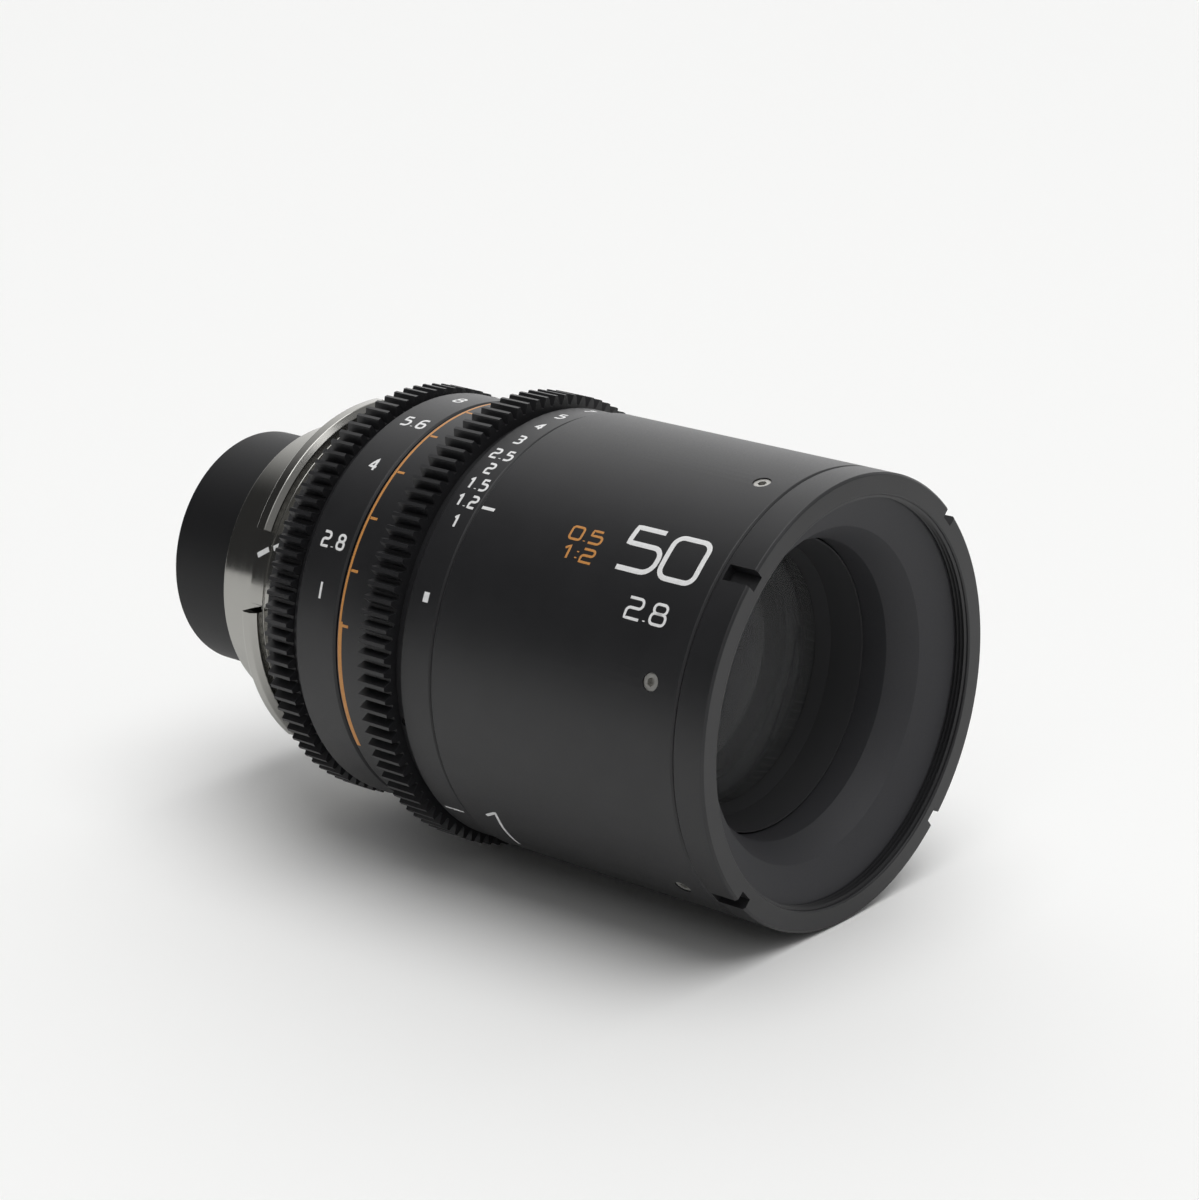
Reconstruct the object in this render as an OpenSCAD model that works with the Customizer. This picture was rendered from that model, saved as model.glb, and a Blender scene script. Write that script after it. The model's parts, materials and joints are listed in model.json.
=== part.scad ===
// Cinema prime lens with a positive-lock camera mount.
// The front faces -Y and +Z is up. The origin is on the optical axis, at the mount's flange face.
// Places along the axis are counted forwards from that face, and radii outwards from the axis.

/* [Front] */
// Outside diameter of the front ring and the front barrel
front_d = 80; // [79:0.5:90]
// Length of the front ring
front_ring_len = 6.3; // [5.5:0.1:10]
// Diameter inside the filter thread
filter_d = 71.2; // [70:0.1:71.8]
// Depth of the filter thread
filter_depth = 3; // [2:0.1:3.6]
// Metal round the filter thread, out to the rim of the front ring
front_rim_w = 4.4; // [3:0.1:8]
// Width of each notch in the rim of the front ring
notch_w = 3; // [1.5:0.1:6]
// Depth of each notch, inwards from the rim
notch_depth = 2; // [0.5:0.1:2.5]
// Metal left between a notch and the seam behind it
notch_land = 0.9; // [0.3:0.1:3]
// Length of the smooth front barrel
barrel_len = 53.2; // [50:0.1:70]
// Wall of the front barrel
barrel_wall = 3; // [2.4:0.1:3.4]
// Chamfer on the outer edges at the seams
edge_chamfer = 0.4; // [0.1:0.05:0.6]
// Diameter of the set screws that hold the front barrel
barrel_screw_d = 3.2; // [2:0.1:4.4]

/* [Bezel] */
// Diameter at the step between the two cones inside the mouth
bezel_step_d = 59.2; // [57.5:0.1:64]
// Depth of that step below the front face
bezel_step_depth = 6.2; // [5:0.1:7]
// Depth of the throat's front edge below the front face
throat_depth = 11.2; // [9:0.1:13]
// Length of the straight throat
throat_len = 5.3; // [3:0.1:6]
// Wall of the throat
throat_wall = 2; // [1.6:0.1:2.4]
// Height of the boss behind the bezel, seated in the guide tube
boss_h = 2; // [1:0.1:4]
// Width of that boss outside the guide tube's bore
boss_step = 2; // [1:0.1:3]

/* [Rings] */
// Air between a turning ring and its fixed neighbour along the axis
ring_gap = 0.3; // [0.2:0.05:0.6]
// Module of both gears
gear_module = 0.8; // [0.7:0.1:0.9]
// Height of the focus gear's tips above the front barrel
focus_gear_rise = 1.6; // [1.4:0.1:3]
// Width of the focus gear
focus_gear_w = 6.4; // [5:0.1:9]
// Width of the groove between the focus gear and its scale
focus_groove_w = 1.8; // [1:0.1:4]
// Depth of that groove below the scale
focus_groove_depth = 1.2; // [0.4:0.1:2]
// Width of the focus scale
focus_scale_w = 7.2; // [6:0.1:12]
// Step of the focus scale below the front barrel
focus_scale_step = 0.4; // [0:0.1:0.8]
// Length of the fixed index band
index_len = 8.5; // [7:0.1:12]
// Step of the index band and the iris ring below the front barrel
band_step = 2.2; // [1.6:0.1:2.6]
// Width of the iris scale
iris_scale_w = 9.7; // [9:0.1:14]
// Width of the groove between the iris scale and its gear
iris_groove_w = 1.6; // [1:0.1:3]
// Depth of that groove below the scale
iris_groove_depth = 1.4; // [0.4:0.1:2]
// Width of the iris gear
iris_gear_w = 5.4; // [4.5:0.1:7]
// Height of the iris gear's tips above the iris scale
iris_gear_rise = 0.6; // [0.4:0.1:1.6]

/* [Core] */
// Air between the cam sleeve and the front barrel
sleeve_gap = 2.5; // [2:0.1:2.8]
// Wall of the cam sleeve
sleeve_wall = 2.45; // [2:0.05:2.8]
// Radial running clearance of the turning and sliding tubes
running_gap = 0.05; // [0.02:0.01:0.1]
// Wall of the guide tube
guide_wall = 2.8; // [2.4:0.1:3.2]
// Length of the guide tube's front flange
front_flange_len = 6; // [5:0.1:8]
// Length of the front ring's spigot inside the barrel
spigot_len = 3; // [2:0.1:4]
// Thickness of the guide tube's rear web
web_t = 4.3; // [3.6:0.1:6]
// Thickness of the guide tube's rear flange
rear_flange_t = 2; // [1.5:0.1:3]
// Step of the rear flange below the iris scale
rear_flange_step = 2.3; // [1.5:0.1:3]
// Diameter of the set screws that hold the index band
index_screw_d = 2.4; // [1.6:0.1:3]

/* [Focus drive] */
// Turn of the focus ring from infinity to its near limit, in degrees
focus_throw = 270; // [180:1:280]
// Travel of the focusing cell over that turn
focus_travel = 12; // [11:0.1:13]
// Diameter of the cam followers
follower_d = 3; // [2:0.1:3.4]
// Clearance on each side of a follower in its slots
follower_gap = 0.05; // [0.03:0.01:0.1]
// Metal of the cam sleeve in front of its slots
sleeve_end = 5.5; // [3:0.1:8]
// Diameter of the screws that join the focus ring and the cam sleeve
focus_screw_d = 1.6; // [1.2:0.1:1.8]
// Diameter of the stop pins
stop_pin_d = 1.6; // [1.2:0.1:2]

/* [Focusing cell] */
// Depth of the nose's front edge below the front face
nose_depth = 16; // [14:0.1:17]
// Air between the nose and the throat
nose_gap = 0.3; // [0.2:0.05:0.5]
// Wall of the nose round the front glass
nose_wall = 1.7; // [1.4:0.1:2.4]
// Depth of the front glass's rim below the front face
glass_depth = 24.4; // [22:0.1:26]
// Edge thickness of the front glass
front_glass_edge = 7.1; // [6:0.1:9]
// Overlap of a retaining ring on its glass
retainer_lip = 1.2; // [0.8:0.1:1.8]
// Height of a retaining ring
retainer_h = 2.5; // [1.8:0.1:3]
// Step from the front glass to the second and third glasses
inner_glass_step = 3.6; // [3:0.1:5]
// Edge thickness of the second glass
second_glass_edge = 5; // [4.5:0.1:6]
// Length of the spacer between the second and third glasses
cell_spacer_len = 4.5; // [3.5:0.1:6]
// Edge thickness of the third glass
third_glass_edge = 6; // [5:0.1:7]
// Length of the cell behind the third glass
cell_tail = 9.2; // [8:0.1:10]

/* [Middle cell] */
// Wall of the middle cell round its glasses
mid_wall = 12.2; // [10:0.1:14]
// Depth of the middle cell's rear lip
mid_lip = 3; // [2:0.1:4]
// Edge thickness of the middle glasses
mid_glass_edge = 5; // [4.5:0.1:5.5]
// Length of the spacer between the middle glasses
mid_spacer_len = 2.5; // [2:0.1:3]

/* [Iris] */
// Radius of the full opening
aperture_r = 13.4; // [12.8:0.1:14.2]
// Distance of the blade pivots from the guide tube's bore
pivot_inset = 6.2; // [6:0.1:6.6]
// Least width of a blade across its arc
blade_min_w = 5; // [4:0.1:6.4]
// Distance of the blade's outer edge inside the pivot circle
blade_clear = 3; // [2.8:0.1:3.6]
// Thickness of a blade
blade_t = 0.12; // [0.08:0.01:0.15]
// Distance from one blade's layer to the next
layer_pitch = 0.3; // [0.25:0.01:0.4]
// Arc covered by a blade, in degrees
blade_span = 104; // [96:1:110]
// Length of the blade's lever from its pivot to its drive pin
lever_len = 9.5; // [9:0.1:10]
// Diameter of the pivot studs
stud_d = 1.4; // [1:0.1:1.8]
// Diameter of the drive pins
drive_pin_d = 1.2; // [1:0.05:1.3]
// Clearance on each side of a pin in its hole or slot
pin_gap = 0.08; // [0.05:0.01:0.1]
// Turn of the iris ring from open to closed, in degrees
iris_throw = 90; // [84:1:96]
// Turns of the iris ring for one turn of a blade
iris_ratio = 3; // [2.9:0.1:3.2]
// Thickness of the base plate
base_t = 2; // [1.5:0.1:2.5]
// Thickness of the rotor's plate
rotor_t = 1.2; // [1:0.1:1.6]
// Height of the rotor over its rim
rotor_h = 9; // [8:0.1:10]
// Wall of the rotor's rim
rim_wall = 1.2; // [0.9:0.1:1.3]
// Height of the drive screw above the rotor's rear face
drive_height = 5.3; // [4:0.1:6]
// Diameter of the drive screw
drive_screw_d = 2; // [1.6:0.1:2.6]

/* [Glass curves] */
// Radii of the front glass's front and rear faces, below 0 where a face is hollow
front_glass_curves = [80, -70]; // [-200:1:200]
// Radii of the second glass's faces
second_glass_curves = [50, 120]; // [-200:1:200]
// Radii of the third glass's faces, 0 where a face is flat
third_glass_curves = [-70, 0]; // [-200:1:200]
// Radii of the front middle glass's faces
mid_front_curves = [60, -90]; // [-200:1:200]
// Radii of the rear middle glass's faces
mid_rear_curves = [90, 0]; // [-200:1:200]
// Radii of the first rear glass's faces
rear_first_curves = [60, 60]; // [-200:1:200]
// Radii of the second rear glass's faces
rear_second_curves = [-80, 0]; // [-200:1:200]
// Radii of the last glass's faces
rear_last_curves = [90, 90]; // [-200:1:200]

/* [Camera mount] */
// Diameter of the mount's tube
mount_tube_d = 54; // [50:0.5:58]
// Length of the tube behind the flange face
mount_tube_len = 12.5; // [8:0.5:16]
// Wall of the tube
mount_tube_wall = 3; // [2:0.1:4]
// Diameter over the wings
wing_d = 68.8; // [67:0.2:70]
// Thickness of the wings
wing_t = 3.2; // [2.5:0.1:4]
// Gap between two wings, in degrees
wing_gap = 26; // [15:1:40]
// Diameter of the neck in front of the wings
neck_d = 64; // [63:0.2:66]
// Room in front of the wings for the camera's lock ring
lock_gap = 4.2; // [3:0.1:6]
// Diameter of the notch for the camera's locating pin
locator_d = 3.2; // [2:0.1:4]
// Thickness of the shim under the mount
shim_t = 0.3; // [0.1:0.05:0.6]
// Diameter of the mount screws
mount_screw_d = 2; // [1.6:0.1:2.2]
// Diameter of the mount screws' heads
mount_head_d = 3; // [2.6:0.1:3.2]
// Height of the mount screws' heads
mount_head_h = 1.2; // [1:0.1:1.8]

/* [Rear barrel] */
// Reach of the rear barrel behind the flange face
rear_reach = 30; // [26:0.5:31.5]
// Air between the rear barrel and the mount's tube
rear_gap = 1.5; // [0.5:0.1:2.5]
// Wall of the rear barrel round its glasses
rear_wall = 4; // [3:0.1:5]
// Length of the bare lip behind the rear retaining ring
rear_lip = 1.5; // [1:0.1:3]
// Edge thickness of the last glass
last_glass_edge = 6; // [5:0.1:7]
// Edge thickness of the inner rear glasses
rear_glass_edge = 5.5; // [5:0.1:6]
// Lengths of the two spacers between the rear glasses
rear_spacer_len = 6.5; // [6:0.1:7.5]

/* [Hidden] */
$fn = 128;
cut = 0.5;
pressure_angle = 20;

// Angles round the axis, seen from the front, counted from the right towards the top
index_angle = 133;
barrel_screw_angles = [for (i = [0:5]) index_angle + 30 + 60 * i];
notch_angles = [for (i = [0:3]) index_angle + 90 * i];
index_screw_angles = [for (i = [0:2]) index_angle + 120 + 60 * i];
thirds = [for (i = [0:2]) index_angle + 60 + 120 * i];
wing_gap_angles = [for (i = [0:3]) index_angle + 31 + 90 * i];
mount_screw_angles = [for (i = [0:3]) index_angle - 14 + 90 * i];
locator_angle = index_angle + 96;
stop_angle = index_angle + 180;
drive_angle = index_angle + 152;

// Radii, worked inwards from the front barrel
front_r = front_d / 2;
barrel_bore = front_r - barrel_wall;
filter_r = filter_d / 2;
filter_chamfer = 0.7;
front_ring_r = max(front_r, filter_r + front_rim_w);
seat_lip = 0.6;
spigot_wall = 0.8;
bezel_seat_r = min(filter_r + seat_lip, barrel_bore - spigot_wall);
bezel_top_r = min(filter_r, bezel_seat_r - seat_lip);
sleeve_out = barrel_bore - sleeve_gap;
sleeve_in = sleeve_out - sleeve_wall;
guide_out = sleeve_in - running_gap;
guide_bore = guide_out - guide_wall;
cell_out = guide_bore - running_gap;
throat_air = 0.6;
throat_r = guide_bore - throat_air - throat_wall;
nose_out = throat_r - nose_gap;
front_glass_r = nose_out - nose_wall;
inner_glass_r = front_glass_r - inner_glass_step;
mid_glass_r = guide_bore - mid_wall;
band_r = front_r - band_step;
rear_flange_r = band_r - rear_flange_step;
focus_scale_r = front_r - focus_scale_step;
focus_teeth = round(2 * (front_r + focus_gear_rise) / gear_module - 2);
iris_teeth = round(2 * (band_r + iris_gear_rise) / gear_module - 2);
mount_tube_r = mount_tube_d / 2;
mount_bore = mount_tube_r - mount_tube_wall;
neck_r = neck_d / 2;
wing_r = wing_d / 2;
wing_root = 0.3;
head_land = 0.1;
mount_screw_r = min(neck_r, guide_out) - mount_head_d / 2 - head_land;
rear_barrel_r = mount_bore - rear_gap;
rear_glass_r = rear_barrel_r - rear_wall;

// Places along the axis, worked forwards from the flange face
z_mount = wing_t + lock_gap;
z_body = z_mount + shim_t;
z_flange = z_body + rear_flange_t;
z_web = z_body + web_t;
z_iris_gear = z_flange + ring_gap;
z_iris_groove = z_iris_gear + iris_gear_w;
z_iris_scale = z_iris_groove + iris_groove_w;
z_iris_end = z_iris_scale + iris_scale_w;
z_index = z_iris_end + ring_gap;
z_index_end = z_index + index_len;
z_index_screw = z_index + index_len / 2;
z_focus_gear = z_index_end + ring_gap;
z_focus_groove = z_focus_gear + focus_gear_w;
z_focus_scale = z_focus_groove + focus_groove_w;
z_focus_screw = z_focus_groove + focus_groove_w / 2;
z_focus_end = z_focus_scale + focus_scale_w;
z_barrel = z_focus_end + ring_gap;
z_barrel_end = z_barrel + barrel_len;
z_flare = z_barrel + barrel_len / 2;
z_front = z_barrel_end + front_ring_len;
z_spigot = z_barrel_end - spigot_len;
z_boss = z_spigot - boss_h;
z_front_flange = z_spigot - front_flange_len;
z_barrel_screw = z_spigot - front_flange_len / 2;
z_filter = z_front - filter_depth;
z_throat_end = z_front - throat_depth - throat_len;

// Focusing cell at infinity, worked backwards from the front glass
z_nose = z_front - nose_depth;
z_glass = z_front - glass_depth;
z_glass_seat = z_glass - front_glass_edge;
seat_land = 0.3;
z_second_front = z_glass_seat - seat_land - retainer_h;
z_second = z_second_front - second_glass_edge;
z_third_front = z_second - cell_spacer_len;
z_third = z_third_front - third_glass_edge;
z_cell = z_third - cell_tail;
z_shoulder = z_glass_seat - seat_land;
z_follower = z_cell + cell_tail / 2;
follower_slot_r = follower_d / 2 + follower_gap;
z_sleeve_end = z_follower + focus_travel + follower_slot_r + sleeve_end;

// Iris stack, worked forwards from the rear web
blade_count = 9;
blade_step = 360 / blade_count;
layer_gap = 0.25;
pivot_r = guide_bore - pivot_inset;
blade_out = pivot_r - blade_clear;
opening_r = min(aperture_r, blade_out - blade_min_w);
blade_mid = (opening_r + blade_out) / 2;
blade_start = 8;
z_base_top = z_web + base_t;
z_rotor = z_base_top + 2 * layer_gap + blade_count * layer_pitch;
z_rotor_plate = z_rotor + rotor_t;
z_rotor_end = z_rotor + rotor_h;
z_drive = z_rotor + drive_height;
rotor_out = guide_bore - running_gap;
rotor_bore = blade_out + 0.9;
blade_turn = iris_throw / iris_ratio;
lever_angle = -90 - blade_turn / 2;
slot_steps = 30;
slot_half = drive_pin_d / 2 + pin_gap;

// Middle cell and rear barrel stacks
z_mid = z_rotor_end + ring_gap;
z_mid_rear = z_mid + mid_lip;
z_mid_spacer = z_mid_rear + mid_glass_edge;
z_mid_front = z_mid_spacer + mid_spacer_len;
z_mid_ring = z_mid_front + mid_glass_edge;
z_mid_end = z_mid_ring + retainer_h;
z_rear = -rear_reach;
z_rear_ring = z_rear + rear_lip;
z_last = z_rear_ring + retainer_h;
z_spacer_b = z_last + last_glass_edge;
z_rear_second = z_spacer_b + rear_spacer_len;
z_spacer_a = z_rear_second + rear_glass_edge;
z_rear_first = z_spacer_a + rear_spacer_len;
z_rear_seat = z_rear_first + rear_glass_edge;
z_rear_end = z_web - ring_gap;

// How deep the screws and followers sit
screw_recess = 0.6;
screw_seat = 1;
index_screw_bite = 1.5;
focus_screw_seat = 0.8;
focus_screw_sink = 0.2;
screw_end = 0.8;
follower_root = 2;
follower_end = 0.3;

// Stop pins stand out of the index band into grooves of the rings on both sides
pin_hold = 3;
pin_reach = 1.5;
pin_end_gap = 0.4;
focus_pin_land = 1.2;
iris_pin_land = 1.4;
groove_depth = pin_reach + pin_end_gap;
focus_stop_r = sleeve_out + stop_pin_d / 2 + focus_pin_land;
iris_stop_r = guide_out + stop_pin_d / 2 + iris_pin_land;

function polar(r, a) = [r * cos(a), r * sin(a)];
function turn(p, a) = [p.x * cos(a) - p.y * sin(a), p.x * sin(a) + p.y * cos(a)];
function sag(r, curve) = abs(curve) - sqrt(curve * curve - r * r);
function involute(a) = tan(a) - a * PI / 180;

// Angle from a tooth's middle to its flank at radius r
function flank(teeth, base_r, r) =
    90 / teeth + (involute(pressure_angle) - involute(acos(base_r / r))) * 180 / PI;

function gear_tip(teeth) = gear_module * (teeth / 2 + 1);
function gear_root(teeth) = gear_module * (teeth / 2 - 1.25);

function gear_points(teeth) =
    let (
        pitch_r = gear_module * teeth / 2,
        base_r = pitch_r * cos(pressure_angle),
        radii = [gear_root(teeth), pitch_r, gear_tip(teeth)]
    )
    [
        for (i = [0:teeth - 1])
            each concat(
                [for (r = radii) polar(r, i * 360 / teeth - flank(teeth, base_r, r))],
                [for (k = [2:-1:0]) polar(radii[k], i * 360 / teeth + flank(teeth, base_r, radii[k]))]
            )
    ];

// Drive pin of the first blade when the iris ring has turned by a, seen from the rotor
function drive_point(a) =
    turn([pivot_r, 0] + polar(lever_len, lever_angle + a / iris_ratio), -a);

function drive_normal(a) =
    let (d = drive_point(a + 0.5) - drive_point(a - 0.5))
    [-d.y, d.x] / norm(d);

module on_axis() {
    rotate([90, 0, 0])
        children();
}

module ring(r_out, r_in, z0, z1) {
    translate([0, 0, z0])
        difference() {
            cylinder(r = r_out, h = z1 - z0);
            translate([0, 0, -cut])
                cylinder(r = r_in, h = z1 - z0 + 2 * cut);
        }
}

module turned(profile) {
    rotate_extrude()
        polygon(profile);
}

module arc_groove(r_out, r_in, z0, z1, start, sweep) {
    translate([0, 0, z0])
        rotate([0, 0, start])
            rotate_extrude(angle = sweep)
                translate([r_in, 0])
                    square([r_out - r_in, z1 - z0]);
}

// A round bar that points outwards from the axis at one angle
module spoke(d, r_in, r_out, z, angle) {
    rotate([0, 0, angle])
        translate([r_in, 0, z])
            rotate([0, 90, 0])
                cylinder(d = d, h = r_out - r_in);
}

module spokes(d, r_in, r_out, z, angles) {
    for (a = angles)
        spoke(d, r_in, r_out, z, a);
}

module glass_cap(r, curve) {
    intersection() {
        cylinder(r = r, h = sag(r, curve));
        translate([0, 0, sag(r, curve) - curve])
            sphere(r = curve);
    }
}

// A round glass with a flat land at its edge; a curve above 0 bulges out of its face, below 0 it is
// hollow, and 0 is flat
module glass(r, z0, z1, curves) {
    front_curve = curves[0];
    rear_curve = curves[1];
    clear_r = r - retainer_lip;
    color("lightsteelblue", 0.4)
        difference() {
            union() {
                translate([0, 0, z0])
                    cylinder(r = r, h = z1 - z0);
                if (front_curve > 0)
                    translate([0, 0, z1])
                        glass_cap(clear_r, front_curve);
                if (rear_curve > 0)
                    translate([0, 0, z0])
                        mirror([0, 0, 1])
                            glass_cap(clear_r, rear_curve);
            }
            if (front_curve < 0)
                translate([0, 0, z1 - sag(clear_r, front_curve) - front_curve])
                    sphere(r = -front_curve);
            if (rear_curve < 0)
                translate([0, 0, z0 + sag(clear_r, rear_curve) + rear_curve])
                    sphere(r = -rear_curve);
        }
}

module front_ring() {
    color("#1d1d1f")
        on_axis()
            difference() {
                turned([
                    [filter_r + filter_chamfer, z_front],
                    [front_ring_r - edge_chamfer, z_front],
                    [front_ring_r, z_front - edge_chamfer],
                    [front_ring_r, z_barrel_end + edge_chamfer],
                    [front_ring_r - edge_chamfer, z_barrel_end],
                    [barrel_bore, z_barrel_end],
                    [barrel_bore, z_spigot],
                    [bezel_seat_r, z_spigot],
                    [bezel_seat_r, z_filter],
                    [filter_r, z_filter],
                    [filter_r, z_front - filter_chamfer]
                ]);
                for (a = notch_angles)
                    rotate([0, 0, a])
                        translate([front_ring_r - notch_depth, -notch_w / 2, z_barrel_end + notch_land])
                            cube([notch_depth + cut, notch_w, front_ring_len]);
            }
}

module front_bezel() {
    color("#232325")
        on_axis()
            turned([
                [bezel_seat_r, z_spigot],
                [bezel_seat_r, z_filter],
                [bezel_top_r, z_filter],
                [bezel_step_d / 2, z_front - bezel_step_depth],
                [throat_r, z_front - throat_depth],
                [throat_r, z_throat_end],
                [throat_r + throat_wall, z_throat_end],
                [throat_r + throat_wall, z_boss],
                [guide_bore + boss_step, z_boss],
                [guide_bore + boss_step, z_spigot]
            ]);
}

module front_barrel() {
    color("#1d1d1f")
        on_axis()
            difference() {
                turned([
                    [barrel_bore, z_barrel],
                    [front_r - edge_chamfer, z_barrel],
                    [front_r, z_barrel + edge_chamfer],
                    [front_r, z_flare],
                    [front_ring_r, z_barrel_end - edge_chamfer],
                    [front_ring_r - edge_chamfer, z_barrel_end],
                    [barrel_bore, z_barrel_end]
                ]);
                spokes(barrel_screw_d, barrel_bore - cut, front_ring_r + cut, z_barrel_screw,
                    barrel_screw_angles);
            }
}

module barrel_screws() {
    color("#3a3a3c")
        on_axis()
            spokes(barrel_screw_d, guide_out + screw_seat, front_r - screw_recess, z_barrel_screw,
                barrel_screw_angles);
}

module guide_tube() {
    drive_slot_edge = (drive_screw_d / 2 + 0.3) / guide_bore * 180 / PI;
    color("#8e9094")
        on_axis()
            difference() {
                turned([
                    [rear_barrel_r, z_body],
                    [rear_flange_r, z_body],
                    [rear_flange_r, z_flange],
                    [guide_out, z_flange],
                    [guide_out, z_front_flange],
                    [barrel_bore, z_front_flange],
                    [barrel_bore, z_spigot],
                    [guide_bore + boss_step, z_spigot],
                    [guide_bore + boss_step, z_boss],
                    [guide_bore, z_boss],
                    [guide_bore, z_web],
                    [rear_barrel_r, z_web]
                ]);
                spokes(barrel_screw_d, guide_out + screw_seat, barrel_bore + cut, z_barrel_screw,
                    barrel_screw_angles);
                spokes(index_screw_d, guide_out - index_screw_bite, guide_out + cut, z_index_screw,
                    index_screw_angles);
                for (a = thirds)
                    straight_slot(a);
                arc_groove(guide_out + cut, guide_bore - cut, z_drive - drive_screw_d / 2 - 0.3,
                    z_drive + drive_screw_d / 2 + 0.3, drive_angle - drive_slot_edge,
                    iris_throw + 2 * drive_slot_edge);
                for (a = mount_screw_angles)
                    rotate([0, 0, a])
                        translate([mount_screw_r, 0, z_body - cut])
                            cylinder(d = mount_screw_d, h = web_t - screw_end + cut);
            }
}

// Guide slot along the axis for one cam follower
module straight_slot(angle) {
    spoke(2 * follower_slot_r, guide_bore - cut, guide_out + cut, z_follower, angle);
    spoke(2 * follower_slot_r, guide_bore - cut, guide_out + cut, z_follower + focus_travel, angle);
    rotate([0, 0, angle])
        translate([guide_bore - cut, -follower_slot_r, z_follower])
            cube([guide_wall + 2 * cut, 2 * follower_slot_r, focus_travel]);
}

// Helical slot for one cam follower, cut as short straight stretches that follow the helix
module helical_slot(angle) {
    stretch = 10;
    count = ceil(focus_throw / stretch);
    step = focus_throw / count;
    mean_r = (sleeve_in + sleeve_out) / 2;
    lead = atan(focus_travel / (mean_r * focus_throw * PI / 180));
    half_len = (sleeve_out + cut) * tan(step / 2) / cos(lead) + cut / 4;
    for (i = [0:count - 1])
        rotate([0, 0, angle - (i + 0.5) * step])
            translate([sleeve_in - cut, 0, z_follower + (i + 0.5) * focus_travel / count])
                rotate([-lead, 0, 0])
                    translate([0, -half_len, -follower_slot_r])
                        cube([sleeve_wall + 2 * cut, 2 * half_len, 2 * follower_slot_r]);
    spoke(2 * follower_slot_r, sleeve_in - cut, sleeve_out + cut, z_follower, angle);
    spoke(2 * follower_slot_r, sleeve_in - cut, sleeve_out + cut, z_follower + focus_travel,
        angle - focus_throw);
}

module index_band() {
    color("#1d1d1f")
        on_axis()
            difference() {
                turned([
                    [guide_out, z_index],
                    [band_r - edge_chamfer, z_index],
                    [band_r, z_index + edge_chamfer],
                    [band_r, z_index_end - edge_chamfer],
                    [band_r - edge_chamfer, z_index_end],
                    [guide_out, z_index_end]
                ]);
                spokes(index_screw_d, guide_out - cut, band_r + cut, z_index_screw, index_screw_angles);
                stop_pin(focus_stop_r, z_index_end - pin_hold, z_index_end + cut);
                stop_pin(iris_stop_r, z_index - cut, z_index + pin_hold);
            }
}

module index_screws() {
    color("#3a3a3c")
        on_axis()
            spokes(index_screw_d, guide_out - index_screw_bite, band_r - screw_recess,
                z_index_screw, index_screw_angles);
}

module stop_pin(r, z0, z1) {
    rotate([0, 0, stop_angle])
        translate([r, 0, z0])
            cylinder(d = stop_pin_d, h = z1 - z0);
}

module focus_stop_pin() {
    color("silver")
        on_axis()
            stop_pin(focus_stop_r, z_index_end - pin_hold, z_index_end + ring_gap + pin_reach);
}

module iris_stop_pin() {
    color("silver")
        on_axis()
            stop_pin(iris_stop_r, z_index - ring_gap - pin_reach, z_index + pin_hold);
}

// Groove in which a stop pin runs while its ring turns forwards by sweep
module stop_groove(r, z0, z1, sweep) {
    half_w = stop_pin_d / 2 + 0.3;
    end_angle = half_w / r * 180 / PI;
    arc_groove(r + half_w, r - half_w, z0, z1, stop_angle - sweep - end_angle, sweep + 2 * end_angle);
}

module gear_rim(teeth, r_in, z0, width) {
    translate([0, 0, z0])
        linear_extrude(height = width)
            difference() {
                polygon(gear_points(teeth));
                circle(r = r_in);
            }
}

module focus_ring() {
    color("#1d1d1f")
        on_axis()
            difference() {
                union() {
                    gear_rim(focus_teeth, sleeve_out, z_focus_gear, focus_gear_w);
                    turned([
                        [sleeve_out, z_focus_groove],
                        [focus_scale_r - focus_groove_depth, z_focus_groove],
                        [focus_scale_r - focus_groove_depth, z_focus_scale],
                        [focus_scale_r - edge_chamfer, z_focus_scale],
                        [focus_scale_r, z_focus_scale + edge_chamfer],
                        [focus_scale_r, z_focus_end - edge_chamfer],
                        [focus_scale_r - edge_chamfer, z_focus_end],
                        [sleeve_out, z_focus_end]
                    ]);
                }
                spokes(focus_screw_d, sleeve_out - cut, front_r + cut, z_focus_screw, thirds);
                stop_groove(focus_stop_r, z_focus_gear - cut, z_focus_gear + groove_depth, focus_throw);
            }
}

module cam_sleeve() {
    color("#b58a4a")
        on_axis()
            difference() {
                ring(sleeve_out, sleeve_in, z_focus_gear, z_sleeve_end);
                for (a = thirds)
                    helical_slot(a);
                spokes(focus_screw_d, sleeve_in + focus_screw_seat, sleeve_out + cut,
                    z_focus_screw, thirds);
            }
}

module focus_screws() {
    color("#3a3a3c")
        on_axis()
            spokes(focus_screw_d, sleeve_in + focus_screw_seat,
                focus_scale_r - focus_groove_depth - focus_screw_sink,
                z_focus_screw, thirds);
}

module focus_cell() {
    nose_edge = 0.3;
    z_ring_top = z_glass + retainer_h;
    color("#2a2a2c")
        on_axis()
            difference() {
                turned([
                    [inner_glass_r - retainer_lip, z_cell],
                    [cell_out, z_cell],
                    [cell_out, z_shoulder],
                    [nose_out, z_shoulder],
                    [nose_out, z_nose],
                    [nose_out - nose_edge, z_nose],
                    [front_glass_r, z_ring_top],
                    [front_glass_r, z_glass_seat],
                    [inner_glass_r, z_glass_seat],
                    [inner_glass_r, z_third],
                    [inner_glass_r - retainer_lip, z_third]
                ]);
                spokes(follower_d, inner_glass_r + follower_root, cell_out + cut, z_follower, thirds);
            }
}

module cam_followers() {
    color("silver")
        on_axis()
            spokes(follower_d, inner_glass_r + follower_root, sleeve_out - follower_end,
                z_follower, thirds);
}

module front_glass() {
    on_axis()
        glass(front_glass_r, z_glass_seat, z_glass, front_glass_curves);
}

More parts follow.
